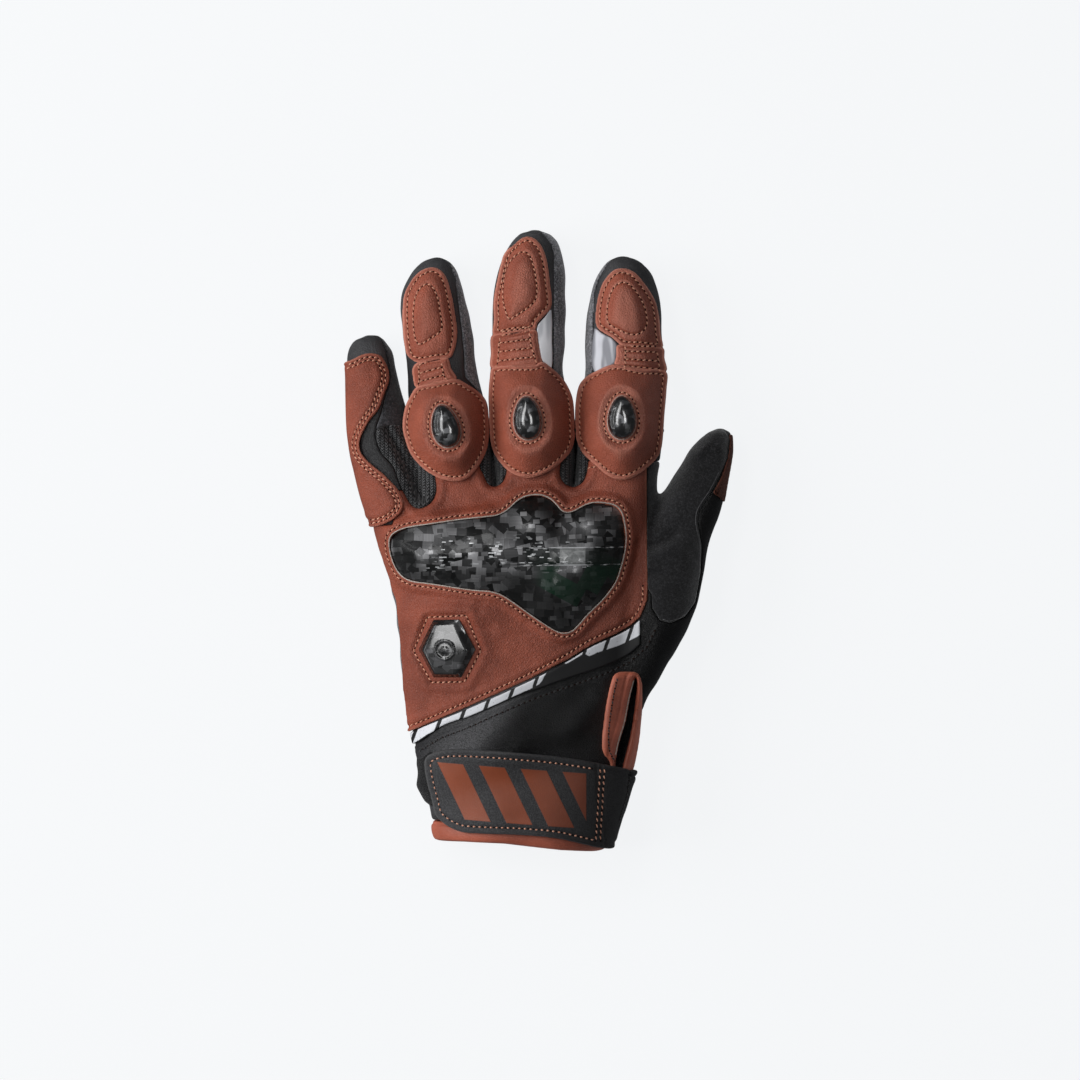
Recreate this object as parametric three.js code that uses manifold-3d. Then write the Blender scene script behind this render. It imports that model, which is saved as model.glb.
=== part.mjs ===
// Left-hand motorcycle glove with a short cuff, lying palm down on a flat surface.
// Millimetres, +Z up. The fingers point along +Y and the thumb lies towards +X.
// The origin is on the surface, under the middle of the glove's box.

import * as THREE from 'three';
import { mergeVertices } from 'three/addons/utils/BufferGeometryUtils.js';
import Module from 'manifold-3d';

const wasm = await Module();
wasm.setup();

// Leather and cloth
const WALL = 2.2; // leather with what backs it, all round the hollow hand
const GAP = 0.3; // clearance between pieces that touch
const SIDE_SEAM = 11; // height of the seam between the back of the hand and the palm side
const TOP_POWER = 2.3; // roundness of a section's upper half, 2 is an ellipse
const UNDER_POWER = 3.2; // the lower half lies flatter
const MID_HEIGHT = 0.42; // where a section is widest, as a share of its height

// Cuff, strap and trims
const MOUTH_REACH = 16; // how far the hollow runs out past the cuff
const HEM_BULGE = 1.5; // the rolled binding stands out this far at the rim
const STRAP_LIFT = 0.6;
const STRAP_THICK = 2.4;
const PATCH_THICK = 1.5;
const BAND_THICK = 0.9;
const BINDING_THICK = 1.6;
const PANEL_THICK = 1.3;
const LAYER_DROP = 4; // layers end this far below the side seam
const STRAP_LOW = 4;
const PATCH_LOW = 5;
const REFLECTOR_THICK = 0.9;

// Mesh fineness
const ROW_STEP = 14; // longest stretch between two sections
const PALM_SIDES = 22;
const PALM_INNER_SIDES = 12;
const TUBE_SIDES = 12;
const TUBE_INNER_SIDES = 8;
const FINE_STEP = 6.5; // distance between the points of a curved outline
const COARSE_STEP = 11;

// The hand, one row a section across it, from the wrist or the palm to the tip.
const PALM = [
  { y: -132, left: -40.5, right: 21.0, bottom: -3, top: 37.0 },
  { y: -118, left: -40.3, right: 24.5, bottom: -3, top: 37.0 },
  { y: -104, left: -42.4, right: 30.0, bottom: -3, top: 36.3 },
  { y: -91, left: -45.8, right: 34.2, bottom: -3, top: 35.6 },
  { y: -78, left: -49.3, right: 37.2, bottom: -3, top: 35.2 },
  { y: -63, left: -52.6, right: 39.0, bottom: -3, top: 35.0 },
  { y: -46, left: -54.4, right: 40.8, bottom: -3, top: 35.0 },
  { y: -28, left: -56.4, right: 42.7, bottom: -3, top: 35.0 },
  { y: -10, left: -60.0, right: 44.2, bottom: -3, top: 35.0 },
  { y: 3, left: -64.2, right: 44.6, bottom: -2, top: 34.2 },
  { y: 13, left: -61.8, right: 44.3, bottom: 0, top: 32.0 },
  { y: 21.6, left: -54.0, right: 43.5, bottom: 2, top: 28.0 },
];
const PINKY = [
  { y: -6, left: -58.0, right: -44.0, bottom: 6, top: 26.0 },
  { y: 10, left: -66.6, right: -41.2, bottom: 2, top: 27.0 },
  { y: 25, left: -71.1, right: -44.2, bottom: 2, top: 25.5 },
  { y: 41, left: -73.9, right: -50.2, bottom: 2.5, top: 22.8 },
  { y: 56, left: -74.6, right: -53.8, bottom: 1.2, top: 20.2 },
  { y: 68, left: -74.9, right: -56.8, bottom: 0.5, top: 18.5 },
  { y: 75.2, left: -73.1, right: -58.6, bottom: 1.5, top: 16.2 },
  { y: 79, left: -67.9, right: -64.0, bottom: 5, top: 11.5 },
];
const RING = [
  { y: 2, left: -43.0, right: -14.0, bottom: 4, top: 27.0 },
  { y: 18, left: -46.5, right: -13.8, bottom: 2, top: 29.5 },
  { y: 36, left: -51.6, right: -16.6, bottom: 2.8, top: 29.2 },
  { y: 52, left: -51.8, right: -21.2, bottom: 3, top: 27.0 },
  { y: 66, left: -52.0, right: -24.8, bottom: 2.4, top: 24.2 },
  { y: 82, left: -53.9, right: -26.7, bottom: 0.8, top: 21.9 },
  { y: 95.4, left: -54.4, right: -29.8, bottom: 0.3, top: 20.5 },
  { y: 104.2, left: -50.5, right: -32.6, bottom: 1.2, top: 18.2 },
  { y: 110.2, left: -42.8, right: -37.4, bottom: 6, top: 12.5 },
];
const MIDDLE = [
  { y: 2, left: -19.0, right: 12.0, bottom: 4, top: 28.0 },
  { y: 18, left: -20.5, right: 14.8, bottom: 2, top: 30.5 },
  { y: 36, left: -20.5, right: 15.2, bottom: 2.7, top: 30.2 },
  { y: 52, left: -19.9, right: 12.8, bottom: 3.4, top: 28.4 },
  { y: 65, left: -19.6, right: 8.9, bottom: 3, top: 26.2 },
  { y: 80, left: -18.9, right: 9.6, bottom: 2, top: 24.0 },
  { y: 96, left: -18.2, right: 9.8, bottom: 0.5, top: 22.2 },
  { y: 108, left: -15.4, right: 9.2, bottom: 0.4, top: 20.5 },
  { y: 116.5, left: -10.9, right: 6.3, bottom: 2, top: 17.5 },
  { y: 120.9, left: -5.8, right: 1.6, bottom: 6, top: 13.0 },
];
const INDEX = [
  { y: 2, left: 15.0, right: 42.0, bottom: 4, top: 27.0 },
  { y: 18, left: 11.8, right: 44.8, bottom: 2, top: 29.5 },
  { y: 36, left: 12.2, right: 47.2, bottom: 2.8, top: 29.2 },
  { y: 52, left: 14.5, right: 48.6, bottom: 3.4, top: 27.4 },
  { y: 64.5, left: 17.4, right: 48.6, bottom: 3, top: 25.4 },
  { y: 80, left: 17.4, right: 47.5, bottom: 1.3, top: 22.6 },
  { y: 93, left: 19.0, right: 46.8, bottom: 0.3, top: 21.2 },
  { y: 103, left: 22.3, right: 43.2, bottom: 0.9, top: 19.0 },
  { y: 111, left: 29.0, right: 34.2, bottom: 6, top: 12.5 },
];
const THUMB = [
  { y: -66, left: 24.0, right: 36.5, bottom: 6, top: 24.0 },
  { y: -48, left: 26.6, right: 50.0, bottom: 2, top: 28.0 },
  { y: -30, left: 29.8, right: 59.6, bottom: 0.6, top: 29.0 },
  { y: -13.8, left: 33.5, right: 63.6, bottom: 0.5, top: 28.5 },
  { y: 0, left: 37.8, right: 66.0, bottom: 0.8, top: 27.4 },
  { y: 12, left: 43.6, right: 70.6, bottom: 0.8, top: 25.2 },
  { y: 24, left: 51.4, right: 73.0, bottom: 0.3, top: 22.5 },
  { y: 34, left: 57.8, right: 74.7, bottom: 0.8, top: 20.0 },
  { y: 39.4, left: 62.2, right: 74.0, bottom: 2.5, top: 17.5 },
  { y: 43.1, left: 68.0, right: 73.0, bottom: 6, top: 13.0 },
];

// Soft folds of the back of the hand, each a ridge from one point to another.
const FOLDS = [
  { x1: -46, y1: 9, x2: -18, y2: 4, width: 6, rise: 1.4 },
  { x1: -12, y1: 16, x2: -22, y2: 10, width: 6, rise: 1.0 },
  { x1: -56, y1: -24, x2: -22, y2: -30, width: 8, rise: 1.6 },
  { x1: -22, y1: -30, x2: 2, y2: -42, width: 8, rise: 1.6 },
  { x1: -46, y1: -78, x2: 12, y2: -68, width: 8, rise: 1.6 },
  { x1: 12, y1: -68, x2: 34, y2: -48, width: 8, rise: 1.4 },
];

// Outlines seen from above: a list of corners, or a list of runs that meet in corners.
// A run of more than two points is a smooth curve.
const RING_TIP = [
  [[-44, 106.5], [-38.6, 104.8], [-35.4, 98], [-33, 86.5], [-32.6, 79], [-35.1, 71.6]],
  [[-35.1, 71.6], [-47.8, 69.6]],
  [[-47.8, 69.6], [-51.5, 72], [-53, 78], [-53.7, 89], [-51.3, 100.4], [-44, 106.5]],
];
const MIDDLE_TIP = [
  [[-18.1, 80.5], [-18.1, 92], [-16.4, 103], [-13.2, 113], [-5.2, 118.7], [0.4, 114.8],
    [3.4, 103], [4.2, 91.5], [-0.6, 85.4], [-2, 82.2]],
  [[-2, 82.2], [-18.1, 80.5]],
];
const INDEX_TIP = [
  [[47, 75.5], [46.3, 86], [45, 93], [37.8, 103.6], [31.4, 106.2], [25, 101.7], [21.7, 92],
    [21.8, 83.8], [26.5, 80], [31.6, 76]],
  [[31.6, 76], [47, 75.5]],
];
const RING_STRIP = [[-47.8, 68.9], [-37, 70.7], [-33.4, 63.6], [-48, 60.4], [-49.8, 66]];
const MIDDLE_STRIP = [[-18.4, 79.8], [-2, 81.5], [0.2, 70], [-1.8, 68.7], [-18.8, 68.1]];
const INDEX_STRIP = [[30.4, 75.4], [47.2, 74.8], [48.2, 66.8], [38.8, 67.5], [29.5, 69]];
const MIDDLE_REFLECTOR = [
  [4.2, 89.6], [4.5, 78], [4.3, 67.6], [0.7, 70.6], [-1.2, 80.5], [-0.8, 84],
];
const INDEX_REFLECTOR = [[21, 82], [26.8, 78.8], [30, 75], [28.9, 69.2], [20.9, 66.4]];
const RING_PAD = [
  [[-33, 62.5], [-24.2, 57.6], [-20.7, 49], [-20.6, 39], [-24.8, 28.4], [-31.5, 23.5],
    [-42.7, 26.2], [-50.4, 33.8], [-53.4, 44.4], [-51.4, 54.4], [-48, 59.6]],
  [[-48, 59.6], [-33, 62.5]],
];
const MIDDLE_PAD = [
  [[0.4, 69.2], [8.4, 63.1], [12.4, 53.4], [12.7, 40.5], [6, 29], [-4.8, 24.6], [-14.9, 29.7],
    [-19.3, 40], [-19.6, 53], [-18.5, 67.2]],
  [[-18.5, 67.2], [0.4, 69.2]],
];
const INDEX_PAD = [
  [[28.9, 68.2], [18, 63.6], [14.3, 55], [14.2, 40], [22, 29], [31, 24.2], [41.1, 28.3],
    [46.8, 37.2], [48.2, 50], [48.4, 65.6]],
  [[48.4, 65.6], [28.9, 68.2]],
];
const PINKY_PANEL = [
  [[-80, 67.6], [-73.6, 70.6], [-65.7, 73], [-60.2, 69], [-59.2, 61.5], [-63.1, 51.3],
    [-70.6, 38.5], [-66.7, 30.4], [-57.3, 22], [-53.4, 14.7], [-58.3, 7.6], [-68.1, 5.3]],
  [[-68.1, 5.3], [-80, 5.3], [-80, 67.6]],
];
const GUARD = [
  [[-58.6, -1.8], [-52.1, 4.7], [-30.8, 7.9], [-16.6, 9.6], [-8.4, 15.5], [0.2, 17.3],
    [8, 11.4], [16.6, 13.1], [26, 14.4], [31.6, 10.5], [33, 1.4], [29, -16], [18.2, -28.4],
    [9.5, -35.6], [-2.5, -29.4], [-15.4, -20.7], [-42.7, -16.5], [-55.8, -11], [-58.6, -1.8]],
];
const GUSSETS = {
  gusset_pinky_ring: [
    [[-64.5, 43.8], [-59, 31], [-50.9, 14.6], [-46.5, 12.2], [-41, 17], [-41.8, 27.5], [-53.4, 44]],
    [[-53.4, 44], [-64.5, 43.8]],
  ],
  gusset_ring_middle: [
    [[-23.5, 40], [-23.8, 30], [-20.6, 21.8], [-15.4, 21.8], [-13.2, 30], [-15.8, 40]],
    [[-15.8, 40], [-23.5, 40]],
  ],
  gusset_middle_index: [
    [[9.6, 40], [7.9, 29.8], [10.8, 21.4], [15.8, 22], [18.4, 30], [16.6, 40]],
    [[16.6, 40], [9.6, 40]],
  ],
};
const BACK_PANEL = [
  [[-52.1, -74.9], [-27.6, -64.3], [-4.5, -53.9], [16, -43], [34.8, -33.3], [41.4, -22.6]],
  [[41.4, -22.6], [41.5, 0], [41.3, 21], [41.3, 60], [-90, 60], [-90, -74.9], [-52.1, -74.9]],
];
const BAND = [
  [[42.6, -24.6], [36, -33.6], [16.6, -43.6], [-3.9, -54.4], [-27.2, -65], [-51.6, -75.6]],
  [[-51.6, -75.6], [-52.6, -79.6], [-47.6, -78.6]],
  [[-47.6, -78.6], [-26.4, -68.2], [-8, -60.2], [12, -51.2], [34, -44.2], [43, -35], [44, -27]],
  [[44, -27], [42.6, -24.6]],
];
const THUMB_SUEDE = [
  [[43, 50], [67, 50], [75, 38.4], [66.7, 19.1], [61.4, 9], [62.6, -8], [60.3, -24],
    [50.7, -32.1], [43.6, -26.1]],
  [[43.6, -26.1], [42.9, 0], [42.6, 22], [43, 50]],
];
const THUMB_PATCH = [
  [[74.2, 40.8], [80, 41], [80, 20], [72.6, 14.2], [67.2, 18.4], [73.8, 32.4], [74.2, 40.8]],
];
const STRAP = [
  [[38.5, -90.2], [12.9, -84.9], [-16, -81.8], [-36, -81.2], [-44.6, -84.4]],
  [[-44.6, -84.4], [-44.4, -93], [-41.2, -106.4], [-32, -112.6], [-14, -113.8], [8, -115.8],
    [25, -119.6]],
  [[25, -119.6], [38.5, -119.6], [44, -100], [38.5, -90.2]],
];
const LOOP_PATCH = [
  [[-39.4, -80.6], [-60, -80.6], [-60, -98], [-47.4, -99], [-43.6, -103.4], [-39.4, -103.4],
    [-39.4, -80.6]],
];
const SLIT_BINDING = [
  [[24.6, -130], [24.8, -101.2], [26.8, -88], [23.8, -79], [25.9, -61.1], [30.4, -51.2],
    [38.4, -51.4], [46, -62]],
  [[46, -62], [46, -130], [24.6, -130]],
];
const SLIT = [
  [[27, -130], [28.4, -88], [31.4, -73], [36.4, -54.4], [38, -58], [35.4, -73], [31.6, -88],
    [29.6, -130]],
  [[29.6, -130], [27, -130]],
];
// The rolled hem lies between its seam and the rim of the cuff.
const HEM_SEAM = [[-60, -108.4], [-30, -109.4], [0, -111.8], [20, -113.4], [60, -113.4]];
const RIM = [[60, -121], [20, -121], [8, -120.2], [-14, -117.6], [-30, -117], [-60, -117]];

// Borders between the fingers, and across the web where each finger joins the palm.
const FINGER_AREAS = {
  pinky: [[-90, 6], [-56, 6], [-42.4, 12], [-41.6, 20], [-45, 31], [-52, 56], [-55.2, 70],
    [-57, 130], [-90, 130]],
  ring: [[-45, 31], [-18.2, 31], [-21, 55], [-23.5, 130], [-57, 130], [-55.2, 70], [-52, 56]],
  middle: [[-18.2, 31], [13.2, 31], [13.7, 130], [-23.5, 130], [-21, 55]],
  index: [[13.2, 31], [50.2, 31], [51.4, 60], [55, 130], [13.7, 130]],
};
const THUMB_AREA = [[51.8, 60], [50.6, 31], [47.4, 22], [43.4, 18], [43, -26], [46, -60],
  [110, -60], [110, 60]];

// The side of each finger's seam on which the back is leather. The other side is suede.
const LEATHER_SIDES = {
  pinky: [[[-59.4, 85], [-59.2, 66], [-60.4, 56], [-64, 44]], [[-64, 44], [-58, 30], [-49, 12]],
    [[-49, 12], [-49, 0], [-95, 0], [-95, 85], [-59.4, 85]]],
  ring: [[[-36.5, 115], [-33.3, 102.3], [-31.4, 88], [-30, 76], [-29.4, 64], [-24, 58]],
    [[-24, 58], [-22, 50], [-21.4, 15], [-70, 15], [-70, 115], [-36.5, 115]]],
  middle: [[[-2, 125], [4.3, 115.6], [5.3, 108], [5, 79.5], [4.7, 66.9], [11, 60]],
    [[11, 60], [12, 50], [11, 15], [-40, 15], [-40, 125], [-2, 125]]],
  index: [[[29, 115], [22.8, 102], [20.8, 90], [20.6, 66], [17, 61]],
    [[17, 61], [15.6, 50], [15.6, 15], [70, 15], [70, 115], [29, 115]]],
};

// Crowned pads: how far the rim and the crown stand off the finger below.
const PADS = {
  ring_knuckle_pad: { outline: RING_PAD, under: RING, rim: 2.2, crown: 6.5, steps: 16 },
  middle_knuckle_pad: { outline: MIDDLE_PAD, under: MIDDLE, rim: 2.2, crown: 6.5, steps: 16 },
  index_knuckle_pad: { outline: INDEX_PAD, under: INDEX, rim: 2.2, crown: 6.5, steps: 16 },
  ring_tip_pad: { outline: RING_TIP, under: RING, rim: 1.3, crown: 2.6, steps: 16 },
  middle_tip_pad: { outline: MIDDLE_TIP, under: MIDDLE, rim: 1.3, crown: 2.6, steps: 16 },
  index_tip_pad: { outline: INDEX_TIP, under: INDEX, rim: 1.3, crown: 2.6, steps: 16 },
  ring_flex_strip: { outline: RING_STRIP, under: RING, rim: 1.2, crown: 0.6, steps: 8 },
  middle_flex_strip: { outline: MIDDLE_STRIP, under: MIDDLE, rim: 1.2, crown: 0.6, steps: 8 },
  index_flex_strip: { outline: INDEX_STRIP, under: INDEX, rim: 1.2, crown: 0.6, steps: 8 },
};

// Glossy egg-shaped studs on the knuckle pads, blunt end towards the wrist.
const STUD_LENGTH = 16.6;
const STUD_WIDTH = 10.4;
const STUD_RISE = 4.6;
const STUD_SUNK = 1.4; // its seat lies this far under the pad's crown
const STUD_TAPER = 0.16; // how much narrower the far end is
const STUD_SIDES = 12;
const STUDS = {
  ring_knuckle_stud: { x: -36.9, y: 44.4, turn: 14, pad: 'ring_knuckle_pad' },
  middle_knuckle_stud: { x: -5.1, y: 47.5, turn: 4, pad: 'middle_knuckle_pad' },
  index_knuckle_stud: { x: 31.5, y: 47.7, turn: 0, pad: 'index_knuckle_pad' },
};

// Hard knuckle guard: a shell with a raised band across it and a slope all round.
const GUARD_RIM = 2.4;
const GUARD_RISE = 5.6;
const GUARD_SPINE = [[-38, -4], [12, -4]];
const GUARD_STEPS = 27;

// Hexagonal cap on the heel of the back.
const CAP = { x: -36.4, y: -42, across: 22.4, top_across: 17.6, base: 1.4, rise: 4.2 };

const MATERIALS = {
  brown: new THREE.MeshStandardMaterial({ color: 0x8f4e3c, roughness: 0.5 }),
  brown_trim: new THREE.MeshStandardMaterial({ color: 0x7a4232, roughness: 0.5 }),
  black: new THREE.MeshStandardMaterial({ color: 0x262628, roughness: 0.45 }),
  suede: new THREE.MeshStandardMaterial({ color: 0x3e3e42, roughness: 0.95 }),
  knit: new THREE.MeshStandardMaterial({ color: 0x1c1c1e, roughness: 0.9 }),
  strap: new THREE.MeshStandardMaterial({ color: 0x3a3a3c, roughness: 0.6 }),
  loop: new THREE.MeshStandardMaterial({ color: 0x202022, roughness: 1 }),
  band: new THREE.MeshStandardMaterial({ color: 0x77787a, roughness: 0.4 }),
  silver: new THREE.MeshStandardMaterial({ color: 0xbfc0c4, roughness: 0.3, metalness: 0.4 }),
  carbon: new THREE.MeshStandardMaterial({ color: 0x303234, roughness: 0.15 }),
  gloss: new THREE.MeshStandardMaterial({ color: 0x101012, roughness: 0.08 }),
};

const glove = new THREE.Group();

// Sections between the named rows, no further apart than ROW_STEP, on smooth curves.
function fillRows(rows) {
  const columns = ['y', 'left', 'right', 'bottom', 'top'];
  const filled = [];
  for (let i = 0; i < rows.length - 1; i += 1) {
    const parts = Math.max(1, Math.round((rows[i + 1].y - rows[i].y) / ROW_STEP));
    for (let k = 0; k < parts; k += 1) {
      filled.push(rowBetween(rows, i, k / parts, columns));
    }
  }
  filled.push(rows[rows.length - 1]);
  return filled;
}

function rowBetween(rows, i, t, columns) {
  const before = rows[Math.max(i - 1, 0)];
  const from = rows[i];
  const to = rows[i + 1];
  const after = rows[Math.min(i + 2, rows.length - 1)];
  const row = {};
  for (const column of columns) {
    const slopeFrom = ((to[column] - before[column]) / (to.y - before.y)) * (to.y - from.y);
    const slopeTo = ((after[column] - from[column]) / (after.y - from.y)) * (to.y - from.y);
    const t2 = t * t;
    const t3 = t2 * t;
    row[column] = from[column] * (2 * t3 - 3 * t2 + 1) + slopeFrom * (t3 - 2 * t2 + t)
      + to[column] * (3 * t2 - 2 * t3) + slopeTo * (t3 - t2);
  }
  return row;
}

// How much the folds raise the leather at a place on the back of the hand.
function foldRise(x, y) {
  let rise = 0;
  for (const fold of FOLDS) {
    const dx = fold.x2 - fold.x1;
    const dy = fold.y2 - fold.y1;
    const along = ((x - fold.x1) * dx + (y - fold.y1) * dy) / (dx * dx + dy * dy);
    const t = Math.min(1, Math.max(0, along));
    const away = Math.hypot(x - fold.x1 - t * dx, y - fold.y1 - t * dy) / fold.width;
    rise += fold.rise * Math.exp(-away * away);
  }
  return rise;
}

// One closed ring of points around a section, grown outwards and pressed flat below.
function sectionRing(row, grow, sides, floor, folded) {
  const mid = row.bottom + MID_HEIGHT * (row.top - row.bottom);
  const centre = (row.left + row.right) / 2;
  const half = (row.right - row.left) / 2 + grow;
  const points = [];
  for (let i = 0; i < sides; i += 1) {
    const angle = (2 * Math.PI * i) / sides;
    const c = Math.cos(angle);
    const s = Math.sin(angle);
    const power = s > 0 ? TOP_POWER : UNDER_POWER;
    const x = centre + half * Math.sign(c) * Math.abs(c) ** (2 / power);
    const height = s > 0 ? row.top + grow - mid : mid - row.bottom + grow;
    let z = mid + height * Math.sign(s) * Math.abs(s) ** (2 / power);
    if (folded && s > 0) {
      z += s * foldRise(x, row.y);
    }
    points.push([x, row.y, Math.max(floor, z)]);
  }
  return points;
}

// Closed body lofted through the sections. grow offsets its sides and its far end.
function loft(rows, sides, grow = 0, options = {}) {
  const { reach = 0, floor = -grow, folded = false } = options;
  const filled = fillRows(rows);
  const positions = [];
  const faces = [];
  filled.forEach((row, i) => {
    let y = row.y;
    if (i === 0) {
      y -= reach;
    } else if (i === filled.length - 1) {
      y += grow;
    }
    positions.push(...sectionRing({ ...row, y }, grow, sides, floor, folded).flat());
  });
  for (let i = 0; i < filled.length - 1; i += 1) {
    for (let k = 0; k < sides; k += 1) {
      const a = i * sides + k;
      const b = i * sides + ((k + 1) % sides);
      faces.push(a, a + sides, b, b, a + sides, b + sides);
    }
  }
  const last = (filled.length - 1) * sides;
  for (let k = 1; k < sides - 1; k += 1) {
    faces.push(0, k, k + 1, last, last + k + 1, last + k);
  }
  const geometry = new THREE.BufferGeometry();
  geometry.setAttribute('position', new THREE.Float32BufferAttribute(positions, 3));
  geometry.setIndex(faces);
  return solid(geometry);
}

const SHOULDER = 0.93; // share of the half width past which topHeight stays level

// Height of the top of a lofted body above a place, held level past its shoulders.
function topHeight(rows, x, y) {
  const last = rows.length - 1;
  const held = Math.min(rows[last].y, Math.max(rows[0].y, y));
  let i = 0;
  while (i < last - 1 && rows[i + 1].y < held) {
    i += 1;
  }
  const t = (held - rows[i].y) / (rows[i + 1].y - rows[i].y);
  const row = {};
  for (const column of ['left', 'right', 'bottom', 'top']) {
    row[column] = rows[i][column] + t * (rows[i + 1][column] - rows[i][column]);
  }
  const mid = row.bottom + MID_HEIGHT * (row.top - row.bottom);
  const half = (row.right - row.left) / 2;
  const across = Math.min(SHOULDER, Math.abs(x - (row.left + row.right) / 2) / half);
  return mid + (row.top - mid) * (1 - across ** TOP_POWER) ** (1 / TOP_POWER);
}

// Joins and cuts work on closed solids whose shared vertices are merged.
function solid(geometry) {
  const bare = geometry.clone();
  bare.deleteAttribute('normal');
  bare.deleteAttribute('uv');
  const merged = mergeVertices(bare, 1e-4);
  return new wasm.Manifold(new wasm.Mesh({
    numProp: 3,
    vertProperties: new Float32Array(merged.attributes.position.array),
    triVerts: new Uint32Array(merged.index.array),
  }));
}

// The points round an outline, a step apart along its curves.
function outlinePoints(outline, step = FINE_STEP) {
  if (typeof outline[0][0] === 'number') {
    return outline;
  }
  const points = [];
  for (const run of outline) {
    if (run.length === 2) {
      points.push(run[0]);
    } else {
      const curve = new THREE.SplineCurve(run.map(([x, y]) => new THREE.Vector2(x, y)));
      const parts = Math.max(2, Math.round(curve.getLength() / step));
      curve.getSpacedPoints(parts).slice(0, -1).forEach((p) => points.push([p.x, p.y]));
    }
  }
  return points;
}

// Points moved outwards by a distance, for a seam's clearance.
function grownPoints(points, distance) {
  const turn = Math.sign(THREE.ShapeUtils.area(points.map(([x, y]) => ({ x, y }))));
  return points.map(([x, y], i) => {
    const [px, py] = points[(i + points.length - 1) % points.length];
    const [nx, ny] = points[(i + 1) % points.length];
    const length = Math.hypot(nx - px, ny - py);
    return [x + (turn * distance * (ny - py)) / length, y - (turn * distance * (nx - px)) / length];
  });
}

// Cutting blocks run out past the glove on every side.
const FAR = 200;
const FAR_BELOW = -5;
const FAR_ABOVE = 70;

// Upright block over an outline.
function block(points, low = FAR_BELOW, high = FAR_ABOVE) {
  const shape = new THREE.Shape(points.map(([x, y]) => new THREE.Vector2(x, y)));
  const geometry = new THREE.ExtrudeGeometry(shape, { depth: high - low, bevelEnabled: false });
  geometry.translate(0, 0, low);
  return solid(geometry);
}

function blockOver(outline, distance = 0, low = FAR_BELOW, step = FINE_STEP) {
  return block(grownPoints(outlinePoints(outline, step), distance), low);
}

// A level slab that covers the whole glove.
function slab(low) {
  return block([[-FAR, -FAR], [FAR, -FAR], [FAR, FAR], [-FAR, FAR]], low);
}

function joined(solids) {
  return solids.reduce((sum, next) => sum.add(next));
}

// The largest closed body of a solid, without crumbs left by a cut.
function largestBody(mesh) {
  const { vertProperties, triVerts } = mesh;
  const parent = Array.from({ length: vertProperties.length / 3 }, (_, i) => i);
  const root = (i) => {
    while (parent[i] !== i) {
      parent[i] = parent[parent[i]];
      i = parent[i];
    }
    return i;
  };
  for (let t = 0; t < triVerts.length; t += 3) {
    parent[root(triVerts[t])] = root(triVerts[t + 1]);
    parent[root(triVerts[t + 1])] = root(triVerts[t + 2]);
  }
  const bodies = new Map();
  for (let t = 0; t < triVerts.length; t += 3) {
    const key = root(triVerts[t]);
    if (!bodies.has(key)) {
      bodies.set(key, { volume: 0, faces: [] });
    }
    const corner = (k) => new THREE.Vector3().fromArray(vertProperties, 3 * triVerts[t + k]);
    const body = bodies.get(key);
    body.volume += corner(0).dot(corner(1).cross(corner(2))) / 6;
    body.faces.push(triVerts[t], triVerts[t + 1], triVerts[t + 2]);
  }
  return [...bodies.values()].sort((a, b) => b.volume - a.volume)[0].faces;
}

function addPiece(name, piece, material) {
  const mesh = piece.getMesh();
  const used = new Map();
  const positions = [];
  const faces = largestBody(mesh).map((vertex) => {
    if (!used.has(vertex)) {
      used.set(vertex, used.size);
      positions.push(...mesh.vertProperties.slice(3 * vertex, 3 * vertex + 3));
    }
    return used.get(vertex);
  });
  const geometry = new THREE.BufferGeometry();
  geometry.setAttribute('position', new THREE.Float32BufferAttribute(positions, 3));
  geometry.setIndex(faces);
  geometry.computeVertexNormals();
  const node = new THREE.Mesh(geometry, material);
  node.name = name;
  glove.add(node);
}

// The hollow hand: palm, four fingers and thumb in one wall.
const TUBES = { pinky: PINKY, ring: RING, middle: MIDDLE, index: INDEX, thumb: THUMB };

function handBody(grow, palmSides, tubeSides, options = {}) {
  const palm = loft(PALM, palmSides, grow, { ...options, folded: true });
  const tubes = Object.values(TUBES).map((rows) => loft(rows, tubeSides, grow));
  return joined([palm, ...tubes]);
}

const hand = handBody(0, PALM_SIDES, TUBE_SIDES);
const hollow = handBody(-WALL, PALM_INNER_SIDES, TUBE_INNER_SIDES, { reach: MOUTH_REACH });
const cleared = handBody(GAP, PALM_SIDES, TUBE_SIDES);
const wall = hand.subtract(hollow);

// The cuff ends at the hem's seam.
const aboveHem = block([
  [-FAR, HEM_SEAM[0][1]],
  ...HEM_SEAM,
  [FAR, HEM_SEAM.at(-1)[1]],
  [FAR, FAR],
  [-FAR, FAR],
]);
const upper = slab(SIDE_SEAM + GAP / 2);
const upperGrown = slab(SIDE_SEAM - GAP / 2);
const slit = blockOver(SLIT, 0, SIDE_SEAM, COARSE_STEP);

const fingerAreas = Object.fromEntries(
  Object.entries(FINGER_AREAS).map(([name, points]) => [name, block(grownPoints(points, -GAP / 2))]),
);
const fingerAreasGrown = joined(
  Object.values(FINGER_AREAS).map((points) => block(grownPoints(points, GAP / 2))),
);
const thumbArea = block(grownPoints(THUMB_AREA, -GAP / 2));
const thumbAreaGrown = block(grownPoints(THUMB_AREA, GAP / 2));
const gussetOutlines = Object.values(GUSSETS);
const gussetBlocks = gussetOutlines.map((outline) => blockOver(outline, 0, SIDE_SEAM));
const gussetsGrown = joined(
  gussetOutlines.map((outline) => blockOver(outline, GAP, SIDE_SEAM - GAP)),
);

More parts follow.
